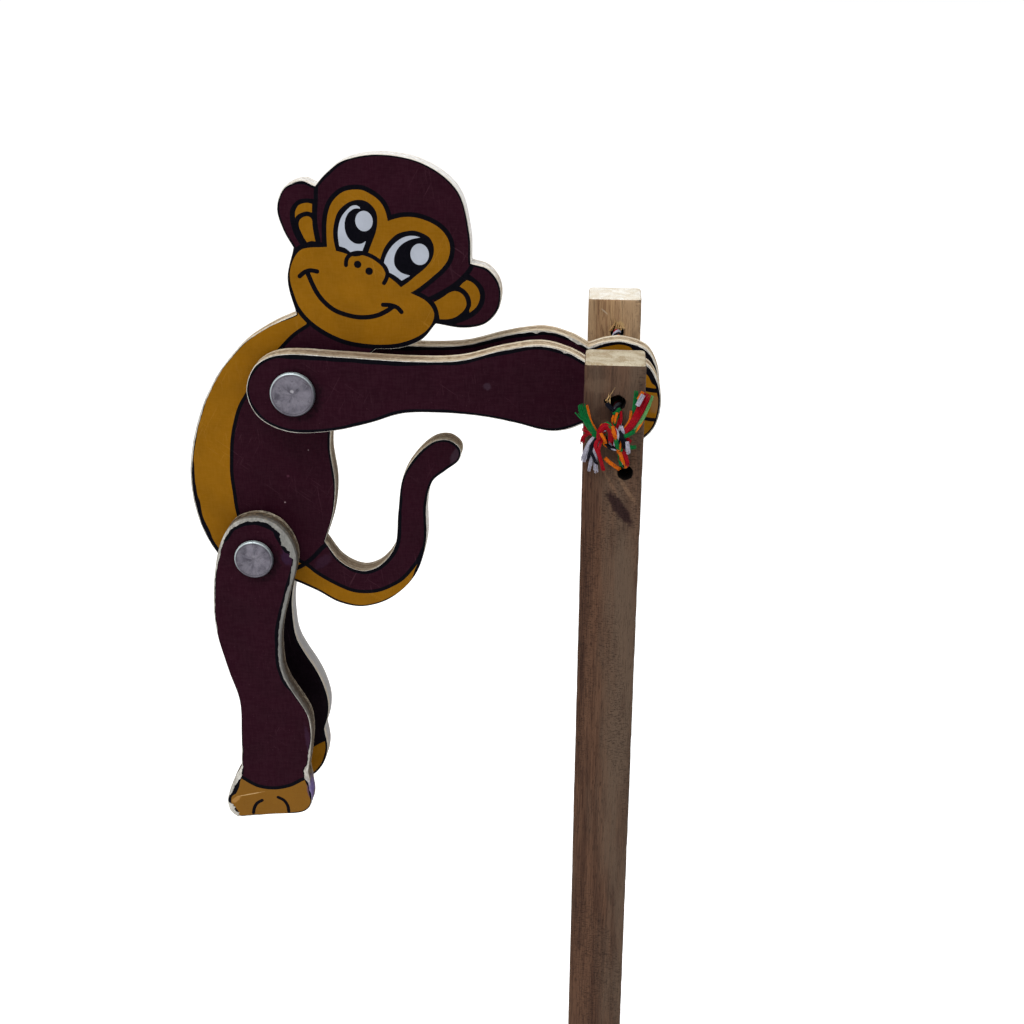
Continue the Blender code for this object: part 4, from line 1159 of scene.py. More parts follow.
# A burr's radius, and how far each ring of its profile is behind the boards
BURR = [(1.8, 0.3), (3.75, 0.3), (3.9, 0.42), (3.9, 0.72), (3.7, 0.98), (3.3, 1.1), (2.5, 1.1), (1.8, 1.1)]
burr = [(radius, STACK + behind) for radius, behind in BURR]
PINS = (
    ("shoulder", SHOULDER, SHOULDER_HEAD, shoulder_metal, "arms"),
    ("hip", HIP, HIP_HEAD, hip_metal, "torso"),
)
for joint, middle, radius, metal, body in PINS:
    rivet = head_profile(radius, HEAD_FACE, PEEN)
    spin(f"rivet_at_{joint}", rivet, middle, 0.05, metal, body, f"{joint}_rivet")
for joint, middle, _, _, body in PINS:
    spin(f"burr_at_{joint}", burr, middle, 0.04, burr_metal, body, f"{joint}_burr")
for node in ("front_nail", "rear_nail"):
    frame["nodes"][node].data.materials.clear()
    frame["nodes"][node].data.materials.append(nail_steel)

# %% [markdown]
# ## Sticks and crossbar
# The sticks are rough sawn wood, browned by handling, with pale ends where the saw went
# through later. A plain box would look new, so each stick is a stack of rings of points
# whose corners are dented and whose faces wander a little. The string holes are dark and
# ragged, so the drill that cuts them here is uneven and flares at the faces.

# %% Wood finishes for the sticks


def make_stick_wood(name, pale, dark, grey, holes, darkening_reach, marks, turn=ORIGIN):
    """Rough wood that is greyed, dirty and ticked by the saw, and darkened round its holes."""
    material, tree, shader, place = start_material(name)
    mapped = put(tree, "Mapping", {"Vector": place, "Rotation": turn}).outputs[0]
    links = {"Place": mapped, "Pale": colour(*pale), "Dark": colour(*dark), "Pores": 0.55}
    wood = grouped(tree, grain, links)
    sunward = ramp(tree, put(tree, "SeparateXYZ", {0: mapped}).outputs[0], -4.0, 6.5, 0.0, 0.14)
    clouds = stretched_noise(tree, mapped, (0.16, 0.16, 0.02), 3.0)
    greyed = ramp(tree, reckon(tree, "ADD", clouds, sunward), 0.44, 0.72, 0.0, 0.85)
    base = lay(tree, wood["Color"], greyed, grey)
    dirt = ramp(tree, stretched_noise(tree, mapped, (0.5, 0.5, 0.07), 5.0), 0.54, 0.72, 0.0, 0.5)
    base = lay(tree, base, dirt, (56, 38, 31))
    ticks = ramp(tree, stretched_noise(tree, mapped, (1.1, 1.1, 6.0), 2.0), 0.56, 0.68)
    patches = ramp(tree, stretched_noise(tree, mapped, (0.12, 0.12, 0.03), 2.0), 0.46, 0.60)
    ticks = reckon(tree, "MULTIPLY", ticks, patches)
    base = lay(tree, base, ticks, (46, 30, 24), 0.38)
    # The holes' walls and rims are darkened to near black
    hole_darkening = [((x, 0.0, z), 0.0, darkening_reach, darkening_reach, 90.0, (10, 8, 8), 0.9) for x, z in holes]
    base = add_marks(tree, place, base, hole_darkening, ragged=0.35)
    base = add_marks(tree, place, base, marks)
    height = reckon(tree, "SUBTRACT", wood["Height"], reckon(tree, "MULTIPLY", ticks, 1.5))
    end_material(tree, shader, base, 0.72, height, 0.09, 0.1)
    return material


print("stick wood helper ready")

# %% Holes, marks, a painted shadow and woods of the sticks
UPPER_HOLE = (0.7, STRING_Z + 7.25)
LOWER_HOLE = (2.6, STRING_Z - 7.25)
BOTH_HOLES = [UPPER_HOLE, LOWER_HOLE]
POST_FRONT, POST_INNER = 32.0, 21.0
FRONT_MARKS_AND_KNOT_SHADOW = [
    mark_at(1.7, -15.0, -POST_FRONT, -55.7, 4.6, 1.3, (34, 16, 18), 0.9),
    mark_at(2.8, -10.6, -POST_FRONT, -58, 4.6, 0.5, (124, 96, 74), 0.55),
    mark_at(-0.4, -9.4, -POST_FRONT, -60, 3.4, 0.35, (116, 88, 68), 0.5),
    # Painted shadow: a dark patch just left of the knot
    mark_at(-1.0, 5.2, -POST_FRONT, 0, 3.0, 1.8, (44, 26, 22), 0.55),
    mark_at(-3.4, 10.6, -POST_FRONT, 0, 2.6, 1.6, (104, 84, 68), 0.4),
]
REAR_MARKS = [
    mark_at(-2.3, 12.0, POST_INNER, -42, 1.1, 0.16, (186, 168, 142), 0.8),
    mark_at(1.1, 8.9, POST_INNER, 0, 1.1, 0.9, (192, 162, 112), 0.9),
]
front_wood = make_stick_wood("front stick wood", (94, 67, 51), (58, 38, 29), (92, 76, 63),
                             BOTH_HOLES, 1.7, FRONT_MARKS_AND_KNOT_SHADOW)
# Painted light: the rear stick's own pale wood, made about a fifth lighter where the toy shades it
rear_wood_painted_lighter = make_stick_wood("rear stick wood painted lighter", (180, 147, 108), (134, 102, 75), (172, 144, 112),
                            BOTH_HOLES, 1.3, REAR_MARKS)
bar_wood = make_stick_wood("crossbar wood", (176, 142, 104), (112, 82, 58), (150, 124, 96), [], 1.0, [],
                           (math.radians(90), 0.0, 0.0))
sawn_end = make_bare_wood("sawn end", (206, 196, 172), (162, 142, 112), (1, 1, 1), 0.35, 0.85, 0.12)
# Painted light: the rear stick's pale fresh ends are raised almost to white
fresh_end_painted_lighter = make_bare_wood("fresh sawn end painted lighter", (255, 253, 246), (228, 216, 194), (1, 1, 1), 0.25, 0.85, 0.12)
hole_wall = make_bare_wood("dark hole wall", (20, 14, 12), (6, 5, 5), (1, 1, 3), 0.5)
WOOD, END, HOLE = range(3)
print("stick woods:", [wood.name for wood in (front_wood, rear_wood_painted_lighter, bar_wood)])

# %% Saw a stick
ROUND_OFF = 0.6  # radius of a stick's worn corners
SAW_ROW = 1.3  # mm between rows of points along a stick


def numbered_rings(count, size):
    """Point numbers of points that were made ring by ring."""
    return [list(range(ring * size, (ring + 1) * size)) for ring in range(count)]


def stick_ring(width, depth, inset):
    """Points round a rectangle with worn corners, each with how near it is to an edge."""
    across, deep = width / 2 - inset - ROUND_OFF, depth / 2 - inset - ROUND_OFF
    corners = [(across, -deep), (across, deep), (-across, deep), (-across, -deep)]
    points = []
    for number, (x, y) in enumerate(corners):
        for turn in (-90, -60, -30, 0):
            angle = math.radians(90 * number + turn)
            bend = (ROUND_OFF * math.cos(angle), ROUND_OFF * math.sin(angle))
            points.append((x + bend[0], y + bend[1], 1.0))
        next_x, next_y = corners[(number + 1) % 4]
        for t in (0.2, 0.4, 0.6, 0.8):
            points.append((x + bend[0] + (next_x - x) * t, y + bend[1] + (next_y - y) * t, 0.0))
    return points


def saw_stick(width, depth, low, high, seed, place):
    """A rough sawn stick from low to high; place puts (across, deep, along) in the toy."""
    count = int((high - low) / SAW_ROW)
    rows = [(low, 0.45), (low + 0.25, 0.12)]
    rows += [(low + 0.7 + (high - low - 1.4) * i / count, 0.0) for i in range(count + 1)]
    rows += [(high - 0.25, 0.12), (high, 0.45)]
    verts = []
    for along, inset in rows:
        for x, y, edge in stick_ring(width, depth, inset):
            wander = 0.07 * wobble(along, seed, 45.0, 0.3 * (x > 0)) + 0.03 * wobble(along, x + y, 1.7, seed)
            dent = -0.22 * edge * max(0.0, wobble(along, x * 3 + y, 2.6, seed + 5) - 0.12)
            grow = 1 + (wander + dent) / (width / 2)
            verts.append((x * grow, y * grow, along))
    size = len(stick_ring(width, depth, 0.0))
    rings = numbered_rings(len(rows), size)
    faces = bands(rings)
    slots = [END] * size + [WOOD] * (len(faces) - 2 * size) + [END] * size
    for end, flip in ((0, True), (len(rows) - 1, False)):
        edge = [verts[i] for i in rings[end]]
        cap = [rings[end]]
        for shrink in (0.66, 0.33):
            cap.append(list(range(len(verts), len(verts) + size)))
            for x, y, along in edge:
                x, y = x * shrink, y * shrink
                verts.append((x, y, along + 0.05 * wobble(x, y, 1.5, seed)))
        cap_faces = bands(cap) + [cap[-1]]
        faces += [face[::-1] for face in cap_faces] if flip else cap_faces
    slots += [END] * (len(faces) - len(slots))
    return make_mesh("sawn stick", [place(*vertex) for vertex in verts], faces, slots)


print("a stick's ring has", len(stick_ring(12.0, 11.0, 0.0)), "points")

# %% Drill a stick


def gather(name, solids):
    """One mesh from many solids, each given as ((points, faces), material number)."""
    verts, faces, slots = [], [], []
    for (solid_verts, solid_faces), slot in solids:
        first = len(verts)
        verts += list(solid_verts)
        faces += [tuple(first + i for i in face) for face in solid_faces]
        slots += [slot] * len(solid_faces)
    return make_mesh(name, verts, faces, slots)


def make_drill(x, z, radius, ends, ragged, notch=None):
    """A rough drill along Y: flared at both faces, with a notch at an angle near one of them."""
    low, high = ends
    rows = [(low - 1.0, 1.15), (low, 1.12), (low + 0.45, 1.02), ((low + high) / 2, 1.0),
            (high - 0.45, 1.02), (high, 1.12), (high + 1.0, 1.15)]
    steps = 32
    verts = []
    for y, flare in rows:
        for step in range(steps):
            turn = math.tau * step / steps
            reach = radius * flare + ragged * wobble(turn * 1.5, y, 0.8, x)
            if notch is not None and abs(y - notch[0]) < 1.6:
                gap = math.remainder(turn - math.radians(notch[1]), math.tau)
                reach += notch[2] * math.exp(-((gap / 0.42) ** 2))
            verts.append((x + reach * math.cos(turn), y, z + reach * math.sin(turn)))
    rings = numbered_rings(len(rows), steps)
    faces = [(a, d, c, b) for a, b, c, d in bands(rings)]
    return verts, faces + [tuple(rings[0]), tuple(reversed(rings[-1]))]


def drill_stick(name, mesh, drills, woods, body, node):
    """Cut every drill out of a stick at once and link the result."""
    stick = link_piece(name, mesh, woods, None)
    cutter_mesh = gather(name + "_drills", [(drill, HOLE) for drill in drills])
    cutter = link_piece(name + "_drills", cutter_mesh, woods, None)
    cut = stick.modifiers.new("drilled", "BOOLEAN")
    cut.operation, cut.solver, cut.object = "DIFFERENCE", "EXACT", cutter
    shaped = stick.evaluated_get(bpy.context.evaluated_depsgraph_get())
    result = bpy.data.meshes.new_from_object(shaped)
    stick.modifiers.clear()
    stick.data = shade(result, 38.0)
    bpy.data.objects.remove(cutter)
    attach(stick, body)
    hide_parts(node)
    print(name, len(result.vertices), "vertices")


# %% Two sticks and their crossbar
POST_LOW, POST_HIGH = (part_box("front_post")[i].z / MM for i in range(2))
BAR_LOW, BAR_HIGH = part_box("crossbar")
BAR_Z = (BAR_LOW.z + BAR_HIGH.z) / 2 / MM
for side, name, node, body, wood, end in (
    (-1, "front_stick_wood", "front_post", "front_stick", front_wood, sawn_end),
    (1, "rear_stick_wood", "rear_post", "rear_stick", rear_wood_painted_lighter, fresh_end_painted_lighter),
):
    middle_y = side * (POST_FRONT + POST_INNER) / 2
    mesh = saw_stick(12.0, 11.0, POST_LOW, POST_HIGH, side + 2.5, lambda x, y, z: (x, middle_y + y, z))
    ends = sorted((side * POST_INNER, side * POST_FRONT))
    notch = (-POST_FRONT, 172.0, 1.25) if side < 0 else None
    drills = [make_drill(*UPPER_HOLE, 1.4, ends, 0.16, notch), make_drill(*LOWER_HOLE, 1.4, ends, 0.18),
              make_drill(0.0, BAR_Z, 1.2, ends, 0.03)]
    drill_stick(name, mesh, drills, [wood, end, hole_wall], body, node)
half_bar = BAR_HIGH.y / MM
mesh = saw_stick(12.0, 12.0, -half_bar, half_bar, 9.5, lambda x, y, z: (x, z, BAR_Z - y))
drill_stick("crossbar_wood", mesh, [make_drill(0.0, BAR_Z, 1.0, (-half_bar, half_bar), 0.02)],
            [bar_wood, sawn_end, hole_wall], "crossbar_frame", "crossbar")

# %% [markdown]
# ## The string
# The string is twisted from five yarns of different colours. One tube with a striped
# material would look smooth and flat, so each yarn is a tube of its own that winds round the
# string's line. Where the knot's tails have come apart, each tuft is a bundle of fine fibres
# that start together and spread towards their tips.

# %% Yarn materials


def make_yarn(name, tint):
    """Woolly yarn with painted shade where it passes through a hole in a stick."""
    material, tree, shader, place = start_material(name)
    fibres = grouped(tree, wool, {"Place": place, "Tint": colour(*tint)})
    # Painted shade: the yarn is darkened inside the sticks' holes
    depth = reckon(tree, "ABSOLUTE", put(tree, "SeparateXYZ", {0: place}).outputs[1])
    in_hole_shade = ramp(tree, depth, POST_INNER - 0.4, POST_INNER + 0.4)
    in_hole_shade = reckon(tree, "MULTIPLY", in_hole_shade, ramp(tree, depth, POST_FRONT + 1.1, POST_FRONT + 0.3))
    base = lay(tree, fibres["Color"], in_hole_shade, (8, 7, 9), 0.93)
    end_material(tree, shader, base, 0.9, fibres["Height"], 0.10, 0.05)
    return material


YARNS = [
    make_yarn("red yarn", (166, 8, 28)), make_yarn("green yarn", (6, 112, 54)),
    make_yarn("orange yarn", (222, 110, 12)), make_yarn("black yarn", (14, 16, 28)),
    make_yarn("white yarn", (184, 182, 198)), make_yarn("pale green yarn", (104, 162, 96)),
]
RED, GREEN, ORANGE, NAVY, PALE, LIME = range(len(YARNS))
TWISTED = 5  # yarns in the string; the pale green is only the faded tip of a green one
print("yarns:", [yarn.name for yarn in YARNS])

# %% Wind yarns round a line
YARN_STEP = 0.35  # mm between points along a yarn
YARN_RING = 0.50  # from the string's middle to a yarn's middle
YARN_RADIUS = 0.40
YARN_PITCH = 5.2  # mm of string for one turn
SOFT = 60.0  # degrees; a tube's ends stay sharp, its sides look round


def frames(path):
    """Two directions across a path at each point, turning as little as they can."""
    along = np.array([unit(step) for step in np.gradient(path, axis=0)])
    side = unit(np.cross(along[0], (0.31, 0.52, 0.79)))
    across = []
    for direction in along:
        side = unit(side - direction * (side @ direction))
        across.append((side, np.cross(direction, side)))
    return across


def sideways(turn, across):
    """The direction at an angle round a path, from its two directions across."""
    return math.cos(turn) * across[0] + math.sin(turn) * across[1]


def tube(path, radii, sides=8):
    """Points and faces of a closed tube along a path."""
    verts = []
    for place, radius, across in zip(path, radii, frames(path)):
        verts += [place + radius * sideways(math.tau * step / sides, across) for step in range(sides)]
    rings = numbered_rings(len(path), sides)
    return verts, bands(rings) + [tuple(reversed(rings[0])), tuple(rings[-1])]


def wind(path, seed=0.0):
    """The five yarns' own paths round a string's line."""
    gone = np.concatenate([[0.0], np.cumsum(np.linalg.norm(np.diff(path, axis=0), axis=1))])
    yarns = []
    for number in range(TWISTED):
        yarn = []
        for place, length, across in zip(path, gone, frames(path)):
            turn = math.tau * (length / YARN_PITCH + number / TWISTED) + seed
            ring = YARN_RING * (1 + 0.18 * wobble(length, number, 1.8, seed))
            yarn.append(place + ring * sideways(turn, across))
        yarns.append(np.array(yarn))
    return yarns


def string_tubes(path, seed=0.0, part=slice(None)):
    """Tubes for the yarns of a string, or of the part of it between two steps."""
    tubes = []
    for number, yarn in enumerate(wind(path, seed)):
        yarn = yarn[part]
        lumps = [YARN_RADIUS * (1 + 0.12 * wobble(y, x + z, 0.9, seed)) for x, y, z in yarn]
        tubes.append((tube(yarn, lumps), number))
    return tubes


print("one turn of string is", YARN_PITCH, "mm long")

# %% String through the sticks, and the knot on the front one
FACE_Y = POST_FRONT + 1.05  # the string's middle as it lies on a stick
NO_CORNER = 100.0  # degrees; a string bends smoothly however sharply it turns
upper, lower = ((x, z) for x, z in BOTH_HOLES)


def at(x, y, z):
    """A place given across and up from the string's axis line, as in the drawings."""
    return (x, y, z + STRING_Z)


REAR_LOOP = [
    (upper[0], POST_INNER, upper[1]), (upper[0], 27.0, upper[1]), (upper[0], 31.6, upper[1] - 0.1),
    (upper[0], FACE_Y, upper[1] - 1.3), at(1.2, FACE_Y, 3.0), at(2.1, FACE_Y, -3.0),
    (lower[0], FACE_Y, lower[1] + 1.3), (lower[0], 31.6, lower[1] + 0.1), (lower[0], 27.0, lower[1]),
    (lower[0], POST_INNER, lower[1]),
]
rear_path = flowing(REAR_LOOP, False, YARN_STEP, NO_CORNER)
rear_string = shade(gather("rear string", string_tubes(rear_path, 1.0)), SOFT)
link_piece("string_on_rear_stick", rear_string, YARNS, "rear_stick", "string_rear_loop")
KNOT_PATH = [
    (upper[0], -POST_INNER, upper[1]), (upper[0], -27.0, upper[1] - 0.3), at(0.6, -30.8, 6.3),
    at(0.5, -32.6, 5.5), at(0.3, -33.4, 4.4), at(0.9, -33.4, 2.9), at(1.9, -33.8, 1.3),
    at(1.7, -34.1, -0.5), at(0.4, -33.8, -1.2), at(-1.2, -33.5, -0.6), at(-2.3, -33.9, 0.9),
    at(-2.2, -34.6, 2.6), at(-1.3, -35.1, 3.4), at(-0.2, -35.3, 2.6), at(0.5, -35.1, 1.2),
    at(0.9, -34.6, -0.5), at(1.5, -33.9, -1.9), at(2.0, -33.7, -3.6), at(2.4, -32.9, -4.9),
    at(2.55, -30.8, -6.1), (lower[0], -27.0, lower[1] + 0.3), (lower[0], -POST_INNER, lower[1]),
]
knot_path = flowing(KNOT_PATH, False, YARN_STEP, NO_CORNER)
knot_length = float(np.linalg.norm(np.diff(knot_path, axis=0), axis=1).sum())
print("string on the front stick is", round(knot_length, 1), "mm long")

# %% Tufts of loose fibres
GOLDEN_TURN = 2.399963  # turning by this angle each time spreads fibres evenly round a bundle
FIBRE = 0.13  # radius of a fibre at its root


def tuft(yarn, route, count, spreads, seed):
    """Fibres that start together and spread; spreads are half widths at the root and the tip."""
    middle = flowing([at(*place) for place in route], False, 0.55, NO_CORNER)
    across = frames(middle)
    steps = np.linspace(0, 1, len(middle))
    tubes = []
    for fibre in range(count):
        turn = fibre * GOLDEN_TURN + seed
        share = math.sqrt((fibre + 0.5) / count)
        stop = len(middle) - int(abs(noise.noise(Vector((fibre * 1.7, seed, 0.5)))) * 5)
        path = []
        for i in range(max(stop, 4)):
            t = steps[i]
            width = spreads[0] + (spreads[1] - spreads[0]) * t**1.4
            curl = 0.22 * t * noise.noise(Vector((fibre * 3.1, t * 3.0, seed)))
            path.append(middle[i] + width * share * sideways(turn, across[i]) + curl * across[i][1])
        radii = [FIBRE * (1 - 0.45 * t) for t in np.linspace(0, 1, len(path))]
        tubes.append((tube(np.array(path), radii, 5), yarn))
    return tubes


def tuft_tubes(tufts, seed):
    tubes = []
    for number, (yarn, route, count, spreads) in enumerate(tufts):
        tubes += tuft(yarn, route, count, spreads, seed + number)
    return tubes


print("tuft helpers ready")

# %% The knot's tails: yarn, route, fibres, and half widths at root and tip
LEFT_UPPER = [
    (GREEN, [(-2.6, -34.4, 0.5), (-3.8, -34.6, 1.7), (-4.9, -34.4, 3.4), (-5.8, -34.0, 5.2),
             (-6.5, -33.8, 7.3)], 36, (0.5, 0.85)),
    (GREEN, [(-4.9, -34.3, 3.8), (-6.2, -34.3, 4.6), (-7.4, -34.0, 5.9)], 6, (0.2, 0.5)),
    (ORANGE, [(-3.4, -34.0, 2.0), (-4.8, -34.0, 4.8), (-5.3, -33.9, 7.2)], 10, (0.2, 0.3)),
    (RED, [(-2.4, -34.2, 1.6), (-4.2, -34.5, 1.7), (-6.1, -33.9, 2.4)], 24, (0.45, 0.6)),
    (RED, [(-4.4, -33.8, 1.6), (-5.8, -33.7, 0.6), (-6.1, -33.4, -1.0)], 12, (0.3, 0.5)),
]
LEFT_LOWER = [
    (PALE, [(-3.4, -34.4, 1.2), (-4.6, -34.6, -0.4), (-5.3, -34.2, -2.4), (-5.8, -33.6, -4.4)], 26,
     (0.35, 0.6)),
    (PALE, [(-3.2, -34.2, 0.2), (-3.8, -34.6, -2.2), (-4.3, -34.0, -4.4), (-4.5, -33.4, -6.6)], 16,
     (0.25, 0.45)),
    (PALE, [(-2.8, -34.2, 0.0), (-3.4, -34.4, -2.6), (-3.3, -33.8, -4.8), (-3.2, -33.3, -6.9)], 16,
     (0.25, 0.5)),
    (NAVY, [(-3.4, -34.8, 0.8), (-4.4, -35.0, -1.2), (-3.8, -34.8, -3.2), (-3.0, -34.2, -5.0)], 12,
     (0.2, 0.3)),
    (NAVY, [(-3.2, -34.4, 0.6), (-4.5, -34.9, -2.0), (-4.9, -34.4, -4.2)], 8, (0.15, 0.25)),
    (RED, [(-2.4, -34.6, 1.2), (-3.4, -35.2, -0.4), (-2.6, -34.9, -2.8), (-1.7, -34.0, -6.2)], 22,
     (0.28, 0.36)),
    (RED, [(-2.0, -34.8, 0.8), (-2.7, -35.2, -1.0), (-2.4, -34.6, -3.4)], 10, (0.2, 0.26)),
    (ORANGE, [(-1.5, -34.0, -3.6), (-0.2, -34.0, -4.8), (1.5, -33.0, -6.2)], 16, (0.32, 0.36)),
]
print(len(LEFT_UPPER) + len(LEFT_LOWER), "tufts on the left")

# %% The tuft on the right
RIGHT_TUFT = [
    (RED, [(1.6, -34.4, 1.4), (3.1, -34.8, 3.2), (4.5, -34.8, 5.6), (6.4, -34.4, 9.9)], 52, (0.55, 1.0)),
    (PALE, [(4.5, -35.5, 8.0), (4.9, -35.8, 9.0), (5.5, -35.4, 10.1)], 18, (0.36, 0.42)),
    (ORANGE, [(4.6, -35.0, 9.0), (5.0, -35.0, 9.8), (5.3, -34.9, 10.6)], 10, (0.3, 0.4)),
    (GREEN, [(2.6, -34.2, 3.0), (3.6, -34.2, 5.2), (3.9, -34.2, 7.4), (4.2, -34.0, 10.4)], 20,
     (0.25, 0.4)),
    (ORANGE, [(2.2, -34.4, 2.8), (3.1, -34.6, 4.6), (3.3, -34.6, 6.5)], 12, (0.22, 0.3)),
    (GREEN, [(1.8, -35.0, 1.2), (3.2, -35.4, 2.0), (4.6, -35.2, 3.0)], 20, (0.36, 0.36)),
    (LIME, [(4.2, -35.1, 2.7), (5.7, -35.0, 5.4), (6.6, -34.8, 7.6), (7.4, -34.4, 9.6)], 16,
     (0.26, 0.38)),
    (ORANGE, [(4.2, -35.4, 2.5), (5.0, -35.3, 3.6), (5.6, -35.1, 4.8)], 6, (0.15, 0.2)),
]
print(len(RIGHT_TUFT), "tufts on the right")

# %% Strands that show on the knot itself
KNOT_BITS = [
    (GREEN, [(1.0, -33.0, 6.2), (0.5, -34.0, 5.9), (-0.2, -34.0, 5.6)], 16, (0.38, 0.32)),
    (ORANGE, [(0.6, -34.4, 6.0), (0.35, -34.5, 5.0), (0.2, -34.6, 3.9)], 9, (0.2, 0.22)),
    (RED, [(1.3, -33.4, 6.0), (1.4, -33.8, 4.8), (1.2, -34.2, 3.4)], 10, (0.22, 0.3)),
    (NAVY, [(-1.5, -32.9, 7.4), (-0.7, -33.3, 6.5), (0.1, -33.6, 6.0)], 14, (0.42, 0.35)),
    (RED, [(-2.7, -35.0, 0.9), (-2.5, -35.6, 2.7), (-1.6, -36.0, 3.8), (-0.7, -35.9, 2.9),
           (-0.5, -35.6, 1.2), (-0.6, -35.0, 0.1)], 34, (0.6, 0.5)),
    (ORANGE, [(-2.8, -35.6, 2.6), (-1.9, -36.2, 1.3), (-1.4, -35.6, 0.0)], 12, (0.26, 0.24)),
    (ORANGE, [(-0.3, -36.0, 3.7), (0.1, -36.4, 2.4), (0.6, -36.0, 1.1)], 16, (0.36, 0.38)),
    (GREEN, [(0.5, -36.0, 1.1), (0.7, -35.8, -0.2), (1.1, -35.2, -1.3)], 16, (0.34, 0.34)),
    (GREEN, [(-1.3, -36.0, 3.9), (-0.8, -36.4, 3.6), (-0.5, -36.2, 3.2)], 8, (0.2, 0.2)),
    (PALE, [(1.5, -34.8, 3.3), (1.8, -35.2, 2.6), (1.9, -35.0, 1.9)], 10, (0.25, 0.28)),
    (NAVY, [(1.2, -34.8, 2.4), (1.8, -35.2, 1.2), (2.2, -34.8, -1.2)], 24, (0.45, 0.5)),
    (NAVY, [(-1.5, -34.4, -0.5), (-0.4, -34.7, -1.1), (0.7, -34.5, -1.2)], 10, (0.22, 0.22)),
    (RED, [(2.5, -34.4, 0.9), (3.0, -34.6, 0.5), (3.6, -34.4, 0.0)], 10, (0.25, 0.3)),
    (PALE, [(2.6, -35.0, 0.3), (2.9, -35.3, -1.0), (3.0, -34.8, -2.3)], 16, (0.38, 0.46)),
    (GREEN, [(3.0, -34.8, -0.9), (3.8, -34.8, -1.0), (4.6, -34.4, -1.1)], 12, (0.3, 0.36)),
    (RED, [(2.1, -34.2, -2.0), (2.7, -34.4, -3.6), (2.9, -33.2, -5.4)], 18, (0.38, 0.44)),
    (ORANGE, [(1.3, -34.6, -2.0), (1.9, -34.8, -3.6), (2.4, -33.6, -5.2)], 14, (0.28, 0.3)),
    (GREEN, [(1.3, -34.0, -3.4), (1.6, -34.0, -4.6), (1.9, -33.0, -5.8)], 8, (0.22, 0.24)),
]
print(len(KNOT_BITS), "strands on the knot")

# %% Put the knot and its tufts on the front stick
knot = gather("knot", string_tubes(knot_path, 0.0) + tuft_tubes(KNOT_BITS, 40.0))
link_piece("knot_on_front_stick", shade(knot, SOFT), YARNS, "front_stick", "string_front_knot")
for name, tufts, node, seed in (
    ("tuft_left_upper", LEFT_UPPER, "frayed_end_upper_left", 10.0),
    ("tuft_left_lower", LEFT_LOWER, "frayed_end_lower_left", 20.0),
    ("tuft_right", RIGHT_TUFT, "frayed_end_right", 30.0),
):
    mesh = shade(gather(name, tuft_tubes(tufts, seed)), SOFT)
    link_piece(name, mesh, YARNS, "front_stick", node)
    print(name, len(mesh.vertices), "vertices")

# %% [markdown]
# ## String between sticks and hands
# When the monkey turns, the string twists: its end in a stick stays, and its end in a hand
# goes round. Each stretch is split halfway into an outer and an inner half.

# %% Stretches that twist, and the string in the hands
HAND_Y = STACK
REACH_IN = 2.5  # how far a stretch runs on inside a hole, out of sight
hand_holes = {"upper": AXIS.x - 5.0, "lower": AXIS.x + 5.0}
for place, side, stick in (("front", -1, "front_stick"), ("rear", 1, "rear_stick")):
    for level, hole in (("upper", UPPER_HOLE), ("lower", LOWER_HOLE)):
        hand = (hand_holes[level], AXIS.z)
        route = [(hole[0], side * (POST_INNER + REACH_IN), hole[1])]
        for t in np.linspace(0, 1, 11):
            ease = t * t * (3 - 2 * t)
            x, z = (there + (here - there) * ease for there, here in zip(hole, hand))
            route.append((x, side * (POST_INNER + (HAND_Y - POST_INNER) * t), z))
        route.append((hand[0], side * (HAND_Y - REACH_IN), hand[1]))
        path = flowing(route, False, YARN_STEP, NO_CORNER)
        half = int(np.argmin(abs(abs(path[:, 1]) - (POST_INNER + HAND_Y) / 2)))
        node = f"string_{place}_{level}_span"
        for part, steps, body, end in (("outer", slice(0, half + 1), stick, POST_INNER),
                                       ("inner", slice(half, None), "arms", HAND_Y)):
            mesh = shade(gather(node, string_tubes(path, side * 2.0, steps)), SOFT)
            piece = link_piece(f"string_{place}_{level}_{part}", mesh, YARNS, None, node)
            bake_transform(piece)
            print(piece.name, len(mesh.vertices), "vertices")

for name, node, x in (("string_wrists", "string_in_wrists", hand_holes["upper"]),
                      ("string_fingers", "string_in_fingers", hand_holes["lower"])):
    path = flowing([(x, y, AXIS.z) for y in (-HAND_Y, 0.0, HAND_Y)], False, YARN_STEP)
    link_piece(name, shade(gather(name, string_tubes(path, 3.0)), SOFT), YARNS, "arms", node)

# %% [markdown]
# ## Splinters
# The drill tore pale splinters out of the wood above the holes. Paint on the wood couldn't
# stand off it and cast a shadow, so each is a thin curved sliver that narrows to its tip.
# A few of them beside each hole are enough to catch the eye.

# %% Splinters at the string holes
splinter_wood = make_bare_wood("splinter", (214, 184, 134), (160, 122, 78), (1, 1, 2), 0.3)


def splinter(face, x, z, tip_x, tip_z, lift, width):
    """A sliver that lies on a stick's face and curls away from it in the middle."""
    start, tip = np.array(at(x, face, z)), np.array(at(tip_x, face, tip_z))
    curl = np.array((0.0, -lift, 0.0))
    path = flowing([start, (start + tip) / 2 + curl, tip + curl * 0.6], False, 0.4, NO_CORNER)
    radii = [width * (1 - 0.85 * t) for t in np.linspace(0, 1, len(path))]
    return tube(path, radii, 5)


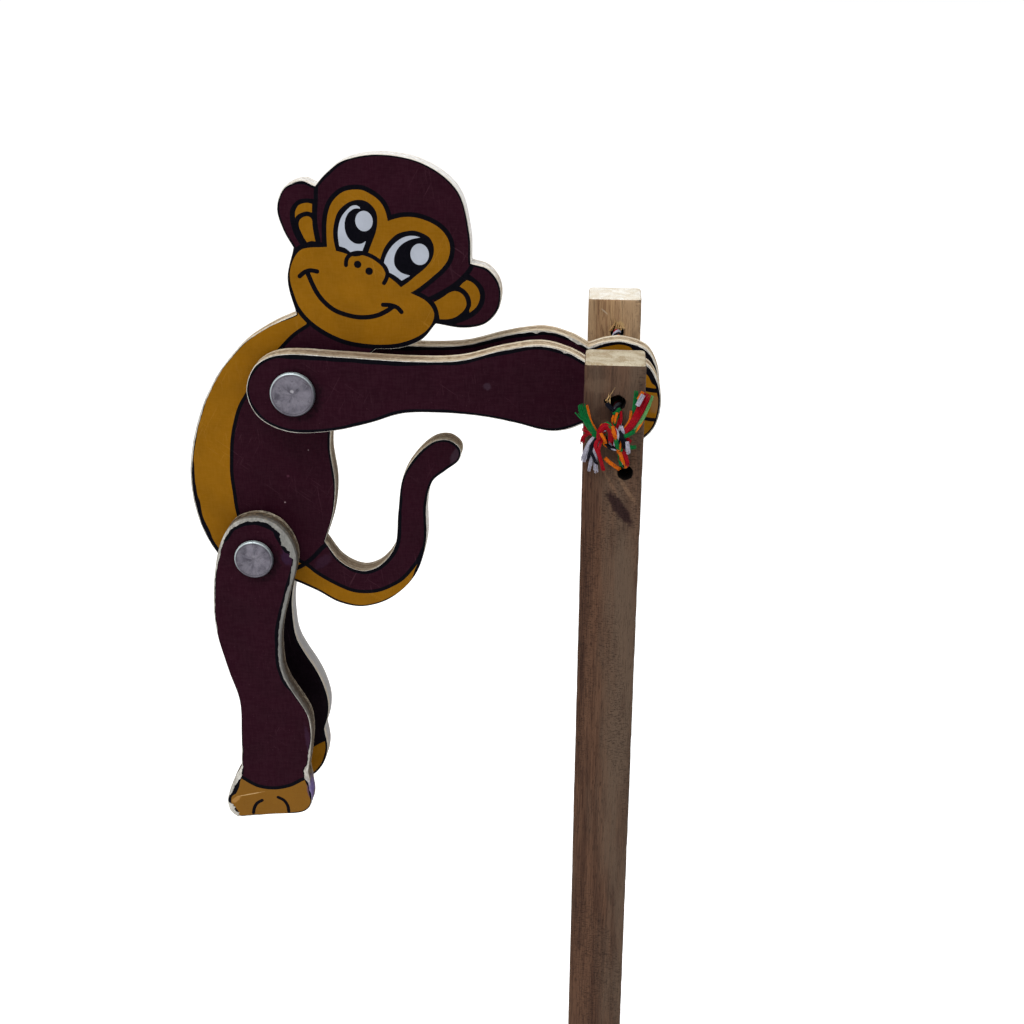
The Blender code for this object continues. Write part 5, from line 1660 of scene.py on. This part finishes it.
# Each sliver's root and tip (across and up), how far it curls, and its half width
REAR_SLIVERS = [
    (-0.9, 7.6, 0.4, 10.1, 0.6, 0.32), (-0.5, 7.7, 0.2, 9.9, 0.4, 0.24), (0.3, 7.8, 0.7, 9.6, 0.3, 0.36),
    (0.9, 7.9, 1.0, 9.5, 0.5, 0.38), (1.5, 7.9, 1.4, 9.3, 0.3, 0.34), (2.2, 8.1, 1.2, 9.7, 0.4, 0.26),
    (0.1, 9.3, 0.0, 10.7, 0.2, 0.12), (0.6, 8.4, 2.5, 8.5, 0.5, 0.22),
]
FRONT_SLIVERS = [
    (-1.7, 7.7, -0.5, 9.4, 0.3, 0.15), (-1.3, 6.8, -0.7, 8.8, 0.4, 0.18),
    (-0.95, 6.7, -0.8, 8.1, 0.5, 0.28), (-1.6, 7.6, 0.1, 10.5, 0.2, 0.09),
    (-1.4, 7.3, -1.1, 9.5, 0.3, 0.11),
]
for name, body, face, slivers in (
    ("splinters_rear", "rear_stick", POST_INNER - 0.1, REAR_SLIVERS),
    ("splinters_front", "front_stick", -POST_FRONT - 0.1, FRONT_SLIVERS),
):
    mesh = shade(gather(name, [(splinter(face, *sliver), 0) for sliver in slivers]), SOFT)
    link_piece(name, mesh, [splinter_wood], body, None)
    print(name, len(slivers), "slivers")

# %% [markdown]
# ## Floor and light
# A plain pale floor and a pale sky keep the background white, as in the picture. The sky
# lights everything evenly, and one large soft lamp above and in front models the edges. The
# lamps are weak enough for a colour to come out about as it is written.

# %% Floor and sky
SKY = 0.60  # strength of the sky's even light
FLOOR_SIZE = 12.0  # in metres
PURE_WHITE = (1.0, 1.0, 1.0, 1.0)


def looked_at(tree):
    """1 where the camera looks, or what a shiny or clear thing shows of the view, and else 0."""
    rays = put(tree, "LightPath").outputs
    return highest(tree, [rays["Is Camera Ray"], rays["Is Glossy Ray"], rays["Is Transmission Ray"]])


half = FLOOR_SIZE / 2 / MM
low_z = cad_box[0][2] / MM - 0.5
around = ((-half, -half), (half, -half), (half, half), (-half, half))
floor_mesh = make_mesh("floor", [(x, y, low_z) for x, y in around], [(0, 1, 2, 3)])
floor = bpy.data.objects.new("floor", floor_mesh)
bpy.context.collection.objects.link(floor)
paper, tree, shader, place = start_material("pale floor")
tint = ramp(tree, stretched_noise(tree, place, 0.004, 2.0), 0.3, 0.7, 0.93, 0.96)
fill(tree, shader.inputs, {
    "Base Color": put(tree, "CombineColor", {0: tint, 1: tint, 2: tint}).outputs[0],
    "Roughness": 0.9,
    "Specular IOR Level": 0.0,
    "Emission Color": PURE_WHITE,
    "Emission Strength": reckon(tree, "MULTIPLY", looked_at(tree), 0.5),
})
floor_mesh.materials.append(paper)

world = bpy.data.worlds.new("sky")
bpy.context.scene.world = world
world.use_nodes = True
tree = world.node_tree
sky = tree.nodes["Background"]
fill(tree, sky.inputs, {"Color": PURE_WHITE, "Strength": SKY})
seen = put(tree, "Background", {"Color": PURE_WHITE, "Strength": 1.0})
either = put(tree, "MixShader", {0: looked_at(tree), 1: sky.outputs[0], 2: seen.outputs[0]})
fill(tree, tree.nodes["World Output"].inputs, {"Surface": either.outputs[0]})
print("floor at", round(low_z, 1), "mm")

# %% Lamps


def soft_lamp(name, place, size, watts):
    """A square lamp that faces the monkey."""
    light = bpy.data.lights.new(name, "AREA")
    light.size = size
    light.energy = watts
    lamp = bpy.data.objects.new(name, light)
    bpy.context.collection.objects.link(lamp)
    lamp.location = Vector(place)
    aim = Vector((-0.03, 0.0, 0.2)) - lamp.location
    lamp.rotation_euler = aim.to_track_quat("-Z", "Y").to_euler()


soft_lamp("key", (-0.40, -0.55, 1.25), 0.6, 9.0)
soft_lamp("fill", (0.9, -0.7, 0.5), 0.9, 1.6)
soft_lamp("back", (0.2, 1.1, 0.9), 0.9, 1.8)
